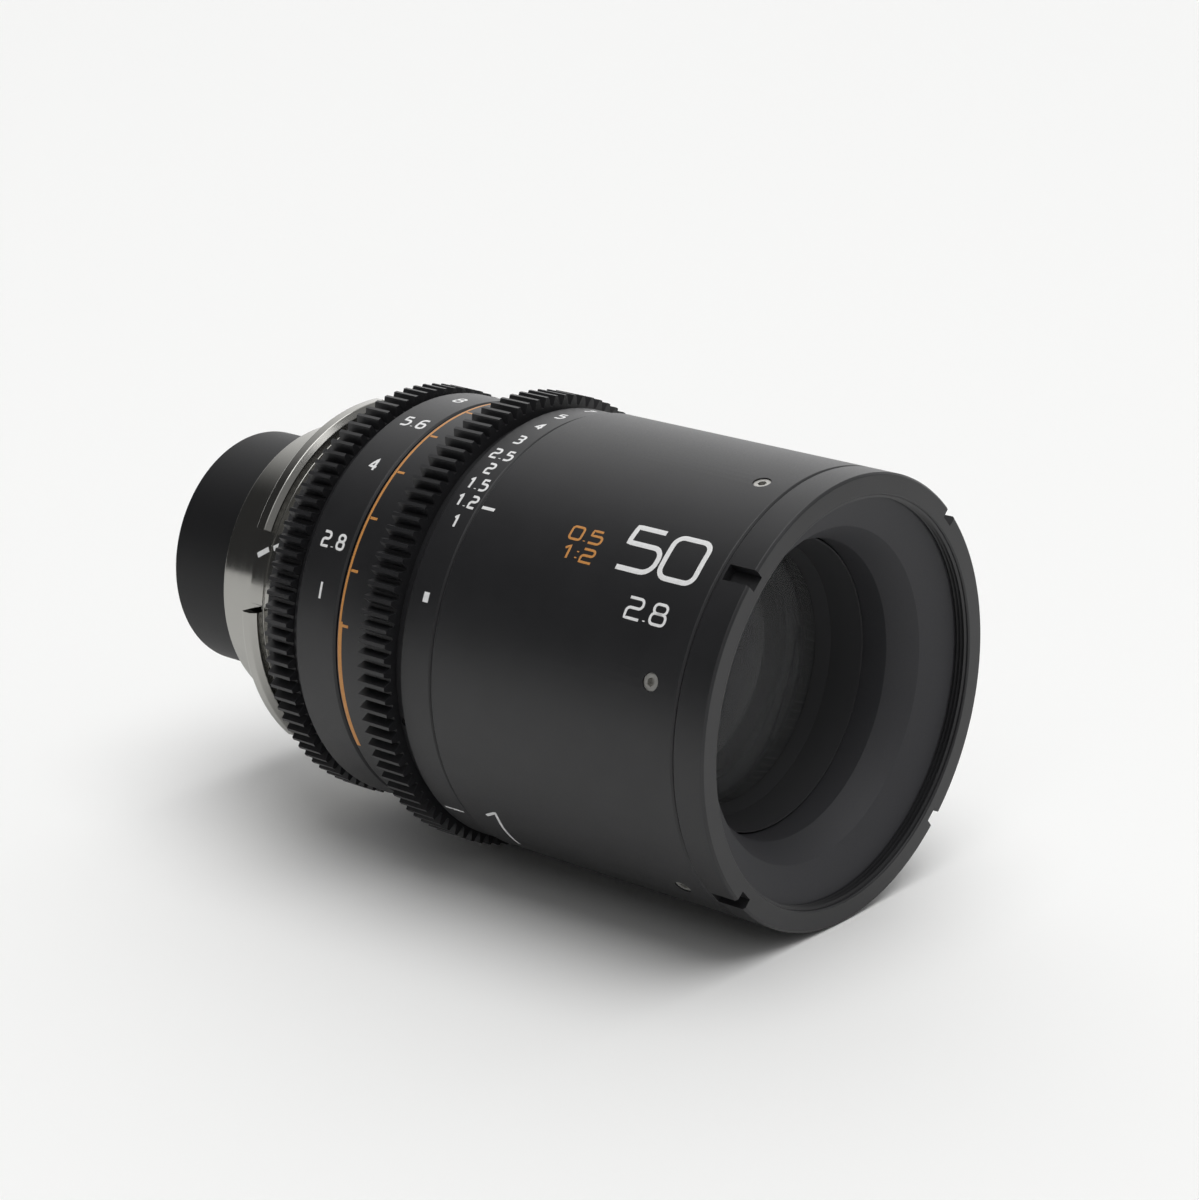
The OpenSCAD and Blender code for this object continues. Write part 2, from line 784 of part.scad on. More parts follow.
// Its bore is a cone that carries the nose's flare down to the glass
module front_retainer() {
    z_ring_top = z_glass + retainer_h;
    color("#2a2a2c")
        on_axis()
            turned([
                [front_glass_r - retainer_lip, z_glass],
                [front_glass_r, z_glass],
                [front_glass_r, z_ring_top],
                [front_glass_r - retainer_lip / 3, z_ring_top]
            ]);
}

module second_glass() {
    on_axis()
        glass(inner_glass_r, z_second, z_second_front, second_glass_curves);
}

module third_glass() {
    on_axis()
        glass(inner_glass_r, z_third, z_third_front, third_glass_curves);
}

module cell_spacer() {
    color("#2a2a2c")
        on_axis()
            ring(inner_glass_r, inner_glass_r - retainer_lip, z_third_front, z_second);
}

module cell_retainer() {
    color("#2a2a2c")
        on_axis()
            ring(inner_glass_r, inner_glass_r - retainer_lip, z_second_front, z_shoulder);
}

module mid_cell() {
    color("#2a2a2c")
        on_axis()
            turned([
                [mid_glass_r - retainer_lip, z_mid],
                [guide_bore, z_mid],
                [guide_bore, z_mid_end],
                [mid_glass_r, z_mid_end],
                [mid_glass_r, z_mid_rear],
                [mid_glass_r - retainer_lip, z_mid_rear]
            ]);
}

module mid_front_glass() {
    on_axis()
        glass(mid_glass_r, z_mid_front, z_mid_ring, mid_front_curves);
}

module mid_rear_glass() {
    on_axis()
        glass(mid_glass_r, z_mid_rear, z_mid_spacer, mid_rear_curves);
}

module mid_spacer() {
    color("#2a2a2c")
        on_axis()
            ring(mid_glass_r, mid_glass_r - retainer_lip, z_mid_spacer, z_mid_front);
}

module mid_retainer() {
    color("#2a2a2c")
        on_axis()
            ring(mid_glass_r, mid_glass_r - retainer_lip, z_mid_ring, z_mid_end);
}

module iris_ring() {
    color("#1d1d1f")
        on_axis()
            difference() {
                union() {
                    gear_rim(iris_teeth, sleeve_in, z_iris_gear, iris_gear_w);
                    turned([
                        [sleeve_in, z_iris_groove],
                        [band_r - iris_groove_depth, z_iris_groove],
                        [band_r - iris_groove_depth, z_iris_scale],
                        [band_r - edge_chamfer, z_iris_scale],
                        [band_r, z_iris_scale + edge_chamfer],
                        [band_r, z_iris_end - edge_chamfer],
                        [band_r - edge_chamfer, z_iris_end],
                        [sleeve_in, z_iris_end]
                    ]);
                }
                spoke(drive_screw_d, sleeve_in - cut, band_r + cut, z_drive, drive_angle);
                stop_groove(iris_stop_r, z_iris_end - groove_depth, z_iris_end + cut, iris_throw);
            }
}

module iris_drive_screw() {
    color("#3a3a3c")
        on_axis()
            spoke(drive_screw_d, rotor_out - rim_wall, band_r - screw_recess, z_drive, drive_angle);
}

// Cam slot of one blade: the path of its drive pin, seen from the turning rotor
module rotor_slot() {
    angles = [for (k = [0:slot_steps]) k * iris_throw / slot_steps];
    polygon(concat(
        [for (a = angles) drive_point(a) + slot_half * drive_normal(a)],
        [for (k = [slot_steps:-1:0]) drive_point(angles[k]) - slot_half * drive_normal(angles[k])]
    ));
    for (a = [0, iris_throw])
        translate(drive_point(a))
            circle(r = slot_half);
}

module iris_rotor() {
    color("#b58a4a")
        on_axis()
            difference() {
                union() {
                    ring(rotor_out, rotor_bore, z_rotor, z_rotor_plate);
                    ring(rotor_out, rotor_out - rim_wall, z_rotor, z_rotor_end);
                }
                for (i = [0:blade_count - 1])
                    rotate([0, 0, i * blade_step])
                        translate([0, 0, z_rotor - cut])
                            linear_extrude(height = rotor_t + 2 * cut)
                                rotor_slot();
                spoke(drive_screw_d, rotor_out - rim_wall - cut, rotor_out + cut, z_drive, drive_angle);
            }
}

function blade_z(i) = z_base_top + layer_gap + i * layer_pitch;

module iris_base() {
    color("#2a2a2c")
        on_axis() {
            ring(guide_bore, opening_r, z_web, z_base_top);
            for (i = [0:blade_count - 1])
                rotate([0, 0, i * blade_step])
                    translate([pivot_r, 0, z_web])
                        cylinder(d = stud_d, h = blade_z(i) + blade_t - z_web);
        }
}

// Flat outline of a blade at full opening, with its pivot on the X axis
module blade_outline() {
    ear_r = 1.9;
    boss_r = 1.3;
    arc_steps = 26;
    pivot = [pivot_r, 0];
    pin = pivot + polar(lever_len, lever_angle);
    side = polar(boss_r * 0.8, lever_angle + 90);
    arc = [for (k = [0:arc_steps]) blade_start + k * blade_span / arc_steps];
    difference() {
        union() {
            polygon(concat(
                [for (a = arc) polar(opening_r, a)],
                [for (k = [arc_steps:-1:0]) polar(blade_out, arc[k])]
            ));
            translate(polar(blade_mid, blade_start + blade_span))
                circle(r = (blade_out - opening_r) / 2);
            polygon([
                polar(blade_mid, blade_start),
                pivot + polar(ear_r, 255),
                pivot + polar(ear_r, 75),
                polar(blade_out, 2 * blade_start)
            ]);
            translate(pivot)
                circle(r = ear_r);
            polygon([pivot + side, pivot - side, pin - side, pin + side]);
            translate(pin)
                circle(r = boss_r);
        }
        translate(pivot)
            circle(r = stud_d / 2 + pin_gap);
    }
}

module iris_blade(i) {
    color("#4a4a4e")
        on_axis()
            rotate([0, 0, i * blade_step]) {
                translate([0, 0, blade_z(i)])
                    linear_extrude(height = blade_t)
                        blade_outline();
                translate(concat([pivot_r, 0] + polar(lever_len, lever_angle), [blade_z(i)]))
                    cylinder(d = drive_pin_d, h = z_rotor_plate - blade_z(i));
            }
}

module camera_mount() {
    head_gap = 0.05;
    color("silver")
        on_axis()
            difference() {
                turned([
                    [mount_bore, -mount_tube_len],
                    [mount_tube_r - edge_chamfer, -mount_tube_len],
                    [mount_tube_r, edge_chamfer - mount_tube_len],
                    [mount_tube_r, 0],
                    [wing_r - edge_chamfer, 0],
                    [wing_r, edge_chamfer],
                    [wing_r, wing_t],
                    [neck_r, wing_t],
                    [neck_r, z_mount],
                    [mount_bore, z_mount]
                ]);
                for (a = wing_gap_angles)
                    arc_groove(max(wing_r, neck_r) + 2 * cut, neck_r + wing_root, -cut, wing_t + cut,
                        a - wing_gap / 2, wing_gap);
                rotate([0, 0, locator_angle])
                    translate([wing_r, 0, -cut])
                        cylinder(d = locator_d, h = wing_t + 2 * cut);
                for (a = mount_screw_angles)
                    rotate([0, 0, a])
                        translate([mount_screw_r, 0, -cut]) {
                            cylinder(d = mount_screw_d + 2 * head_gap, h = z_mount + 2 * cut);
                            cylinder(d = mount_head_d + 2 * head_gap, h = mount_head_h + cut);
                        }
            }
}

module mount_shim() {
    color("#b58a4a")
        on_axis()
            difference() {
                ring(neck_r, mount_bore, z_mount, z_body);
                for (a = mount_screw_angles)
                    rotate([0, 0, a])
                        translate([mount_screw_r, 0, z_mount - cut])
                            cylinder(d = mount_screw_d + 0.1, h = shim_t + 2 * cut);
            }
}

module mount_screws() {
    head_sink = 0.1;
    color("gray")
        on_axis()
            for (a = mount_screw_angles)
                rotate([0, 0, a])
                    translate([mount_screw_r, 0, head_sink]) {
                        cylinder(d = mount_head_d, h = mount_head_h - head_sink);
                        cylinder(d = mount_screw_d, h = z_body + web_t - screw_end - head_sink);
                    }
}

module rear_barrel() {
    color("#1d1d1f")
        on_axis()
            turned([
                [rear_glass_r, z_rear],
                [rear_barrel_r - edge_chamfer, z_rear],
                [rear_barrel_r, z_rear + edge_chamfer],
                [rear_barrel_r, z_rear_end],
                [rear_glass_r - retainer_lip, z_rear_end],
                [rear_glass_r - retainer_lip, z_rear_seat],
                [rear_glass_r, z_rear_seat]
            ]);
}

module rear_first_glass() {
    on_axis()
        glass(rear_glass_r, z_rear_first, z_rear_seat, rear_first_curves);
}

module rear_second_glass() {
    on_axis()
        glass(rear_glass_r, z_rear_second, z_spacer_a, rear_second_curves);
}

module rear_last_glass() {
    on_axis()
        glass(rear_glass_r, z_last, z_spacer_b, rear_last_curves);
}

module rear_spacers() {
    color("#2a2a2c")
        on_axis() {
            ring(rear_glass_r, rear_glass_r - retainer_lip, z_spacer_b, z_rear_second);
            ring(rear_glass_r, rear_glass_r - retainer_lip, z_spacer_a, z_rear_first);
        }
}

module rear_retainer() {
    color("#2a2a2c")
        on_axis()
            ring(rear_glass_r, rear_glass_r - retainer_lip, z_rear_ring, z_last);
}

front_ring();
front_bezel();
front_barrel();
barrel_screws();
guide_tube();
index_band();
index_screws();
focus_stop_pin();
iris_stop_pin();
focus_ring();
cam_sleeve();
focus_screws();
focus_cell();
cam_followers();
front_glass();
front_retainer();
second_glass();
third_glass();
cell_spacer();
cell_retainer();
mid_cell();
mid_front_glass();
mid_rear_glass();
mid_spacer();
mid_retainer();
iris_ring();
iris_drive_screw();
iris_rotor();
iris_base();
iris_blade(0);  // iris_blade_1
iris_blade(1);  // iris_blade_2
iris_blade(2);  // iris_blade_3
iris_blade(3);  // iris_blade_4
iris_blade(4);  // iris_blade_5
iris_blade(5);  // iris_blade_6
iris_blade(6);  // iris_blade_7
iris_blade(7);  // iris_blade_8
iris_blade(8);  // iris_blade_9
camera_mount();
mount_shim();
mount_screws();
rear_barrel();
rear_first_glass();
rear_second_glass();
rear_last_glass();
rear_spacers();
rear_retainer();
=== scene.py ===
# A cinema prime lens lying on a white table, seen from its front left.
# Sizes are millimetres: r outwards from the optical axis, z forwards from the camera mount's flange face,
# and angles in degrees seen from the front, from the right over the top. The axis runs along -Y.
import json
import math

import bmesh
import bpy
from mathutils import Matrix, Vector
from mathutils.geometry import interpolate_bezier


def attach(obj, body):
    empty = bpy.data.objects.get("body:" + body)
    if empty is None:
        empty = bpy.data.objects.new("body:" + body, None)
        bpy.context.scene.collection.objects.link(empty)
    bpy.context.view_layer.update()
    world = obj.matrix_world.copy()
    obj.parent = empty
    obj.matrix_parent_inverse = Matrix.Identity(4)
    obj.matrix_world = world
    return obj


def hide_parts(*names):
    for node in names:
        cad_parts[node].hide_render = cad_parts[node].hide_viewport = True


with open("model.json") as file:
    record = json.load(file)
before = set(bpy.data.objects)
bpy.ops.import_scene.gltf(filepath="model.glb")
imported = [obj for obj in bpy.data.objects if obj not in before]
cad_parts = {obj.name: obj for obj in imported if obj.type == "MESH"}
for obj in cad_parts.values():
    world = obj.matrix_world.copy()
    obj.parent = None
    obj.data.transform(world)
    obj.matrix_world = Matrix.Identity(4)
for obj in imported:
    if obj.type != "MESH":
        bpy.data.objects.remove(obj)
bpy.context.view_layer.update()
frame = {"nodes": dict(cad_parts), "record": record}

# Guide tube: the fixed core of the lens, turned from aluminium bar and painted matt black inside and out.
# Every other piece is screwed to it or slides in it, and only its rear flange shows, behind the iris ring.
MM = 0.001
INDEX = 133  # the angle of the index marks
TURN_STEPS = 180
WELD = 0.0005
EDGE_ANGLE = 25
SHADE_ANGLE = 10
GUIDE_BORE, GUIDE_R = 29.2, 32
REAR_BORE, REAR_STEP = 22.5, 12
FLANGE_R, FLANGE_REAR, FLANGE_FRONT = 35.5, 7.7, 9.7
HEAD_R, HEAD_REAR, HEAD_FRONT = 37, 95.7, 101.7
SEAT_R, SEAT_Z = 31.2, 99.7


def at(r, angle, z):
    """The point at a radius, an angle and a place along the axis, in the model's metres."""
    a = math.radians(angle)
    return Vector((r * math.cos(a), -z, r * math.sin(a))) * MM


def linear(hex_colour):
    """An sRGB hex colour as linear RGBA."""
    parts = [int(hex_colour[i:i + 2], 16) / 255 for i in (1, 3, 5)]
    return [c / 12.92 if c <= 0.04045 else ((c + 0.055) / 1.055) ** 2.4 for c in parts] + [1]


def add(tree, kind, inputs, **settings):
    """A shader node with its settings, its values and its links. A Mix node's inputs go by number."""
    node = tree.nodes.new("ShaderNode" + kind)
    for name, value in settings.items():
        setattr(node, name, value)
    for name, value in inputs.items():
        if isinstance(value, bpy.types.NodeSocket):
            tree.links.new(value, node.inputs[name])
        else:
            node.inputs[name].default_value = value
    return node


def finish(name, colour, **values):
    """A new material, with its node tree and its Principled shader."""
    material = bpy.data.materials.new(name)
    material.use_nodes = True
    skin = material.node_tree.nodes["Principled BSDF"]
    skin.inputs["Base Color"].default_value = linear(colour)
    for socket, value in values.items():
        skin.inputs[socket.replace("_", " ")].default_value = value
    return material, material.node_tree, skin


def turned(outline, steps=TURN_STEPS):
    """A closed outline of (r, z) points, turned on the axis."""
    bm = bmesh.new()
    verts = [bm.verts.new(at(r, INDEX, z)) for r, z in outline]
    edges = [bm.edges.new(pair) for pair in zip(verts, verts[1:] + verts[:1])]
    bmesh.ops.spin(bm, geom=verts + edges, cent=(0, 0, 0), axis=(0, -1, 0), angle=math.tau, steps=steps,
                   use_merge=True)
    bmesh.ops.remove_doubles(bm, verts=bm.verts, dist=WELD * MM)
    bmesh.ops.recalc_face_normals(bm, faces=bm.faces)
    return bm


def soften(bm, width):
    """Breaks the sharp edges, as a deburring tool does."""
    sharp = [e for e in bm.edges if e.is_manifold and e.calc_face_angle(0) > math.radians(EDGE_ANGLE)]
    bmesh.ops.bevel(bm, geom=sharp, offset=width * MM, offset_type="OFFSET", segments=2, profile=0.5,
                    affect="EDGES", material=-1, clamp_overlap=True)
    return bm


def piece(name, bm, material, body, slot, *replaced):
    """A finished mesh on its body, shaded smooth between its sharp edges."""
    mesh = bpy.data.meshes.new(name)
    bm.to_mesh(mesh)
    bm.free()
    mesh.shade_smooth()
    mesh.set_sharp_from_angle(angle=math.radians(SHADE_ANGLE))
    mesh.materials.append(material)
    obj = bpy.data.objects.new(name, mesh)
    bpy.context.scene.collection.objects.link(obj)
    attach(obj, body)
    if replaced:
        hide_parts(*replaced)
    return obj


# Anti-reflection paint: a dead matt black with a fine sprayed grain, so it shows broad and dim light only.
PAINT_GRAIN = 0.35
inner_paint, tree, skin = finish("matt_black_anti_reflection_paint", "#2a2a2c", Roughness=0.72)
place = add(tree, "TexCoord", {})
grain = add(tree, "TexNoise", {"Vector": place.outputs["Object"], "Scale": 1 / (PAINT_GRAIN * MM), "Detail": 3})
bump = add(tree, "Bump", {"Height": grain.outputs["Fac"], "Strength": 0.25, "Distance": 0.02 * MM})
tree.links.new(bump.outputs["Normal"], skin.inputs["Normal"])

piece("guide_tube_shell", soften(turned([
    (REAR_BORE, FLANGE_REAR), (FLANGE_R, FLANGE_REAR), (FLANGE_R, FLANGE_FRONT), (GUIDE_R, FLANGE_FRONT),
    (GUIDE_R, HEAD_REAR), (HEAD_R, HEAD_REAR), (HEAD_R, HEAD_FRONT), (SEAT_R, HEAD_FRONT), (SEAT_R, SEAT_Z),
    (GUIDE_BORE, SEAT_Z), (GUIDE_BORE, REAR_STEP), (REAR_BORE, REAR_STEP),
]), width=0.15), inner_paint, "lens_body", "matte", "guide_tube")

# Camera mount: stainless steel, turned and polished, with four wings that the camera's lock ring grips.
# Four socket screws hold it to the guide tube through a brass shim that sets the focus.
MOUNT_TUBE_R, MOUNT_BORE = 27, 24
MOUNT_REAR, MOUNT_FRONT = -12.5, 7.4
NECK_R = 32
WING_R, WING_ROOT, WING_FRONT = 34.4, 32.3, 3.2
WING_GAP, WING_GAP_ANGLE = 26, INDEX + 31
WING_CHAMFER = 1
CHAMFER = 0.4
LOCATOR_R, LOCATOR_ANGLE = 1.6, INDEX + 96
MOUNT_SCREW_R, MOUNT_SCREW_CIRCLE = 1.5, 30.4
MOUNT_SCREW_FOOT, MOUNT_SCREW_HEAD = 6, 0.1
MOUNT_HOLE_R, MOUNT_HOLE_FLOOR = 1.55, 1.2
OVERCUT = 1  # how far a cutting shape stands past the surface
mount_screw_angles = [INDEX - 14 + 90 * i for i in range(4)]


def cut(bm, tool):
    """The shape bm with the closed shape tool taken out of it."""
    shapes = []
    for part in (bm, tool):
        mesh = bpy.data.meshes.new("blank")
        part.to_mesh(mesh)
        part.free()
        shapes.append(bpy.data.objects.new("blank", mesh))
        bpy.context.scene.collection.objects.link(shapes[-1])
    difference = shapes[0].modifiers.new("cut", "BOOLEAN")
    difference.operation = "DIFFERENCE"
    difference.solver = "EXACT"
    difference.object = shapes[1]
    evaluated = shapes[0].evaluated_get(bpy.context.evaluated_depsgraph_get())
    result = bmesh.new()
    result.from_mesh(evaluated.to_mesh())
    for shape in shapes:
        bpy.data.meshes.remove(shape.data)
    return result


def sector(r_in, r_out, z0, z1, start, sweep, steps=12):
    """A block between two radii, two places and two angles."""
    bm = bmesh.new()
    face = bm.faces.new([bm.verts.new(at(r, start, z)) for r, z in
                         ((r_in, z0), (r_out, z0), (r_out, z1), (r_in, z1))])
    bmesh.ops.spin(bm, geom=[face], cent=(0, 0, 0), axis=(0, -1, 0), angle=math.radians(sweep), steps=steps)
    bmesh.ops.recalc_face_normals(bm, faces=bm.faces)
    return bm


def rod(r, start, end, sides=48):
    """A round bar between two points of the model."""
    bm = bmesh.new()
    along = end - start
    turn = along.to_track_quat("Z", "Y").to_matrix().to_4x4()
    bmesh.ops.create_cone(bm, cap_ends=True, segments=sides, radius1=r * MM, radius2=r * MM,
                          depth=along.length, matrix=Matrix.Translation((start + end) / 2) @ turn)
    return bm


def together(*shapes):
    """Several shapes in one mesh."""
    bm = bmesh.new()
    for shape in shapes:
        mesh = bpy.data.meshes.new("blank")
        shape.to_mesh(mesh)
        shape.free()
        bm.from_mesh(mesh)
        bpy.data.meshes.remove(mesh)
    return bm


def socket_screw(r, foot, head, socket_r, socket_depth):
    """A screw's head with a hexagon socket, between two points on its axis."""
    out = (head - foot).normalized() * MM
    bm = soften(rod(r, foot, head), width=0.15)
    return cut(bm, rod(socket_r, head - out * socket_depth, head + out, sides=6))


# Polished stainless steel: bright, with fine turning lines round the axis that stretch its highlights.
TURNING_LINE = 0.25
TURNING_SWEEP = 50
turning = (1 / (TURNING_SWEEP * MM), 1 / (TURNING_LINE * MM), 1 / (TURNING_SWEEP * MM))
steel, tree, skin = finish("polished_stainless_steel", "#a4a39f", Metallic=1)
place = add(tree, "TexCoord", {})
lines = add(tree, "Mapping", {"Vector": place.outputs["Object"], "Scale": turning})
grain = add(tree, "TexNoise", {"Vector": lines.outputs["Vector"], "Scale": 1, "Detail": 2})
worn = add(tree, "MapRange", {"Value": grain.outputs["Fac"], "To Min": 0.1, "To Max": 0.22})
tree.links.new(worn.outputs["Result"], skin.inputs["Roughness"])
bump = add(tree, "Bump", {"Height": grain.outputs["Fac"], "Strength": 0.08, "Distance": 0.01 * MM})
tree.links.new(bump.outputs["Normal"], skin.inputs["Normal"])

mount = soften(turned([
    (MOUNT_BORE, MOUNT_REAR), (MOUNT_TUBE_R - CHAMFER, MOUNT_REAR), (MOUNT_TUBE_R, MOUNT_REAR + CHAMFER),
    (MOUNT_TUBE_R, 0), (WING_R - CHAMFER, 0), (WING_R, CHAMFER), (WING_R, WING_FRONT - WING_CHAMFER),
    (WING_R - WING_CHAMFER, WING_FRONT), (NECK_R, WING_FRONT), (NECK_R, MOUNT_FRONT), (MOUNT_BORE, MOUNT_FRONT),
]), width=0.12)
mount = cut(mount, together(*[
    sector(WING_ROOT, WING_R + OVERCUT, -OVERCUT, WING_FRONT + OVERCUT,
           WING_GAP_ANGLE + 90 * i - WING_GAP / 2, WING_GAP) for i in range(4)
]))
mount = cut(mount, rod(LOCATOR_R, at(WING_R, LOCATOR_ANGLE, -OVERCUT),
                       at(WING_R, LOCATOR_ANGLE, WING_FRONT + OVERCUT)))
mount = cut(mount, together(*[
    rod(MOUNT_HOLE_R, at(MOUNT_SCREW_CIRCLE, a, -OVERCUT), at(MOUNT_SCREW_CIRCLE, a, MOUNT_HOLE_FLOOR))
    for a in mount_screw_angles
]))
piece("mount_body", mount, steel, "lens_body", "stainless", "camera_mount")
piece("mount_screw_heads", together(*[
    socket_screw(MOUNT_SCREW_R, at(MOUNT_SCREW_CIRCLE, a, MOUNT_SCREW_FOOT),
                 at(MOUNT_SCREW_CIRCLE, a, MOUNT_SCREW_HEAD), socket_r=0.8, socket_depth=0.8)
    for a in mount_screw_angles
]), steel, "lens_body", "stainless", "mount_screws")

# Rear barrel: a black anodised aluminium tube that reaches into the camera, with the last glasses inside.
# A slotted ring, screwed in from behind, holds them against the tube's shoulder.
REAR_R, REAR_GLASS_R = REAR_BORE, 18.5
REAR_END, REAR_FRONT, REAR_SHOULDER = -30, 11.7, 4
LIP = 1.2  # how far a seat or a ring covers a glass
REAR_CLEAR = REAR_GLASS_R - LIP
LOCK_REAR, LOCK_FRONT = -28.5, -26
SLOT_FLOOR = (LOCK_REAR + LOCK_FRONT) / 2
SLOT_SWEEP, SLOT_ANGLES = 5, (20, 200)


def ring(r_in, r_out, z0, z1):
    """A plain ring between two radii and two places."""
    return turned([(r_in, z0), (r_out, z0), (r_out, z1), (r_in, z1)])


# Black anodised aluminium: bead-blasted before dyeing, so a satin skin with a very fine grain. The grain is
# drawn coarser than it is, because the real one is too fine to show.
BLAST_GRAIN = 0.3
BLAST_PATCH = 9
anodised, tree, skin = finish("black_anodised_aluminium", "#1d1d1f")
place = add(tree, "TexCoord", {})
grain = add(tree, "TexNoise", {"Vector": place.outputs["Object"], "Scale": 1 / (BLAST_GRAIN * MM), "Detail": 4})
patch = add(tree, "TexNoise", {"Vector": place.outputs["Object"], "Scale": 1 / (BLAST_PATCH * MM), "Detail": 3})
tone = add(tree, "MapRange", {"Value": patch.outputs["Fac"], "From Min": 0.3, "From Max": 0.7})
shade = add(tree, "Mix", {"Factor": tone.outputs["Result"], 6: linear("#1b1b1d"), 7: linear("#202022")},
            data_type="RGBA")
tree.links.new(shade.outputs[2], skin.inputs["Base Color"])
satin = add(tree, "MapRange", {"Value": grain.outputs["Fac"], "To Min": 0.36, "To Max": 0.5})
tree.links.new(satin.outputs["Result"], skin.inputs["Roughness"])
bump = add(tree, "Bump", {"Height": grain.outputs["Fac"], "Strength": 0.12, "Distance": 0.02 * MM})
tree.links.new(bump.outputs["Normal"], skin.inputs["Normal"])

# Dull black anodising: etched before dyeing, so it hardly shines. Its colour is darker than the barrel's
# anodising, and that extra darkness is painted shade, as if the mount shadowed the rear barrel.
dull_shaded_anodised, tree, skin = finish("dull_shaded_black_anodised_aluminium", "#131315", Specular_IOR_Level=0.32)
place = add(tree, "TexCoord", {})
grain = add(tree, "TexNoise", {"Vector": place.outputs["Object"], "Scale": 1 / (BLAST_GRAIN * MM), "Detail": 4})
satin = add(tree, "MapRange", {"Value": grain.outputs["Fac"], "To Min": 0.48, "To Max": 0.62})
tree.links.new(satin.outputs["Result"], skin.inputs["Roughness"])
shade = add(tree, "Mix", {"Factor": grain.outputs["Fac"], 6: linear("#111113"), 7: linear("#161618")},
            data_type="RGBA")
tree.links.new(shade.outputs[2], skin.inputs["Base Color"])
bump = add(tree, "Bump", {"Height": grain.outputs["Fac"], "Strength": 0.15, "Distance": 0.02 * MM})
tree.links.new(bump.outputs["Normal"], skin.inputs["Normal"])

# The rear barrel's darker colour is painted shade.
piece("rear_barrel_shell", soften(turned([
    (REAR_GLASS_R, REAR_END), (REAR_R - CHAMFER, REAR_END), (REAR_R, REAR_END + CHAMFER), (REAR_R, REAR_FRONT),
    (REAR_CLEAR, REAR_FRONT), (REAR_CLEAR, REAR_SHOULDER), (REAR_GLASS_R, REAR_SHOULDER),
]), width=0.12), dull_shaded_anodised, "lens_body", "black", "rear_barrel")
lock_ring = cut(soften(ring(REAR_CLEAR, REAR_GLASS_R, LOCK_REAR, LOCK_FRONT), width=0.1), together(*[
    sector(REAR_CLEAR - OVERCUT, REAR_GLASS_R + OVERCUT, LOCK_REAR - OVERCUT, SLOT_FLOOR,
           a - SLOT_SWEEP / 2, SLOT_SWEEP, steps=3) for a in SLOT_ANGLES
]))
piece("rear_lock_ring", lock_ring, inner_paint, "lens_body", "matte", "rear_retainer")

# Glasses: polished optical glass, each face a part of a sphere with a flat land under its retaining ring.
# Thin coatings keep their reflections dim and tint them, so the lens looks dark from the front.
FRONT_GLASS_R, CELL_GLASS_R, MID_GLASS_R = 24.6, 21, 17
FRONT_SEAT, FRONT_EDGE = 79.5, 86.6
SECOND_SEAT, SECOND_EDGE = 71.7, 76.7
THIRD_SEAT, THIRD_EDGE = 61.2, 67.2
MID_SEAT, MID_REAR_EDGE = 29.5, 34.5
MID_FRONT_SEAT, MID_FRONT_EDGE = 37, 42
REAR_FIRST_SEAT, REAR_LAST_EDGE = -1.5, -20
REAR_SECOND_SEAT, REAR_SECOND_EDGE = -13.5, -8
GLASS_STEPS, ARC_STEPS = 96, 16

# Coated optical glass: clear and glossy, with faint wiping marks. Its index is the coating's, matched to the
# object's dim reflections. A trace of dust on the outer glasses takes the light and greys them.
WIPE_MARK = 6
coatings = []
for name, colour, index, tint, level, clear in (
        ("coated_optical_glass", "#e6e7e8", 1.18, "#66626e", 0.3, 0.95),
        ("rear_coated_optical_glass", "#e6e7e8", 1.2, "#564c78", 0.3, 0.978),
        ("multi_coated_optical_glass", "#e9ece8", 1.3, "#564c78", 0.02, 1)):
    coating, tree, skin = finish(name, colour, IOR=index, Specular_Tint=linear(tint), Specular_IOR_Level=level,
                                 Transmission_Weight=clear)
    place = add(tree, "TexCoord", {})
    marks = add(tree, "TexNoise", {"Vector": place.outputs["Object"], "Scale": 1 / (WIPE_MARK * MM),
                                   "Detail": 2})
    gloss = add(tree, "MapRange", {"Value": marks.outputs["Fac"], "To Min": 0.02, "To Max": 0.04})
    tree.links.new(gloss.outputs["Result"], skin.inputs["Roughness"])
    coatings.append(coating)
coated, rear_coated, inner_coated = coatings

# Edge blacking: the ground rims of the glasses are inked dead black, to stop stray light.
INK_GRAIN = 0.5
ink, tree, skin = finish("black_edge_ink", "#0a0a0b")
place = add(tree, "TexCoord", {})
grain = add(tree, "TexNoise", {"Vector": place.outputs["Object"], "Scale": 1 / (INK_GRAIN * MM), "Detail": 2})
rough = add(tree, "MapRange", {"Value": grain.outputs["Fac"], "To Min": 0.75, "To Max": 0.95})
tree.links.new(rough.outputs["Result"], skin.inputs["Roughness"])


def face_arc(r, z, curve, side):
    """The points of one glass face from its land to the axis; a curve above 0 bulges out, 0 is flat."""
    if not curve:
        return [(r, z), (0, z)]
    radius = abs(curve)
    edge = math.sqrt(radius ** 2 - r ** 2)
    way = side * math.copysign(1, curve)
    radii = [r * k / ARC_STEPS for k in range(ARC_STEPS, -1, -1)]
    return [(p, z + way * (math.sqrt(radius ** 2 - p ** 2) - edge)) for p in radii]


def glass(name, body, r, z0, z1, front, rear, coating=inner_coated):
    """One glass between its two edges, with the radii of its faces, in place of its node."""
    clear = r - LIP
    outline = [(r, z0), (r, z1)] + face_arc(clear, z1, front, 1) + face_arc(clear, z0, rear, -1)[::-1]
    bm = turned(outline, steps=GLASS_STEPS)
    for face in bm.faces:
        if all(math.hypot(v.co.x, v.co.z) > (clear - WELD) * MM for v in face.verts):
            face.material_index = 1
    piece(name + "_polished", bm, coating, body, "glass", name).data.materials.append(ink)


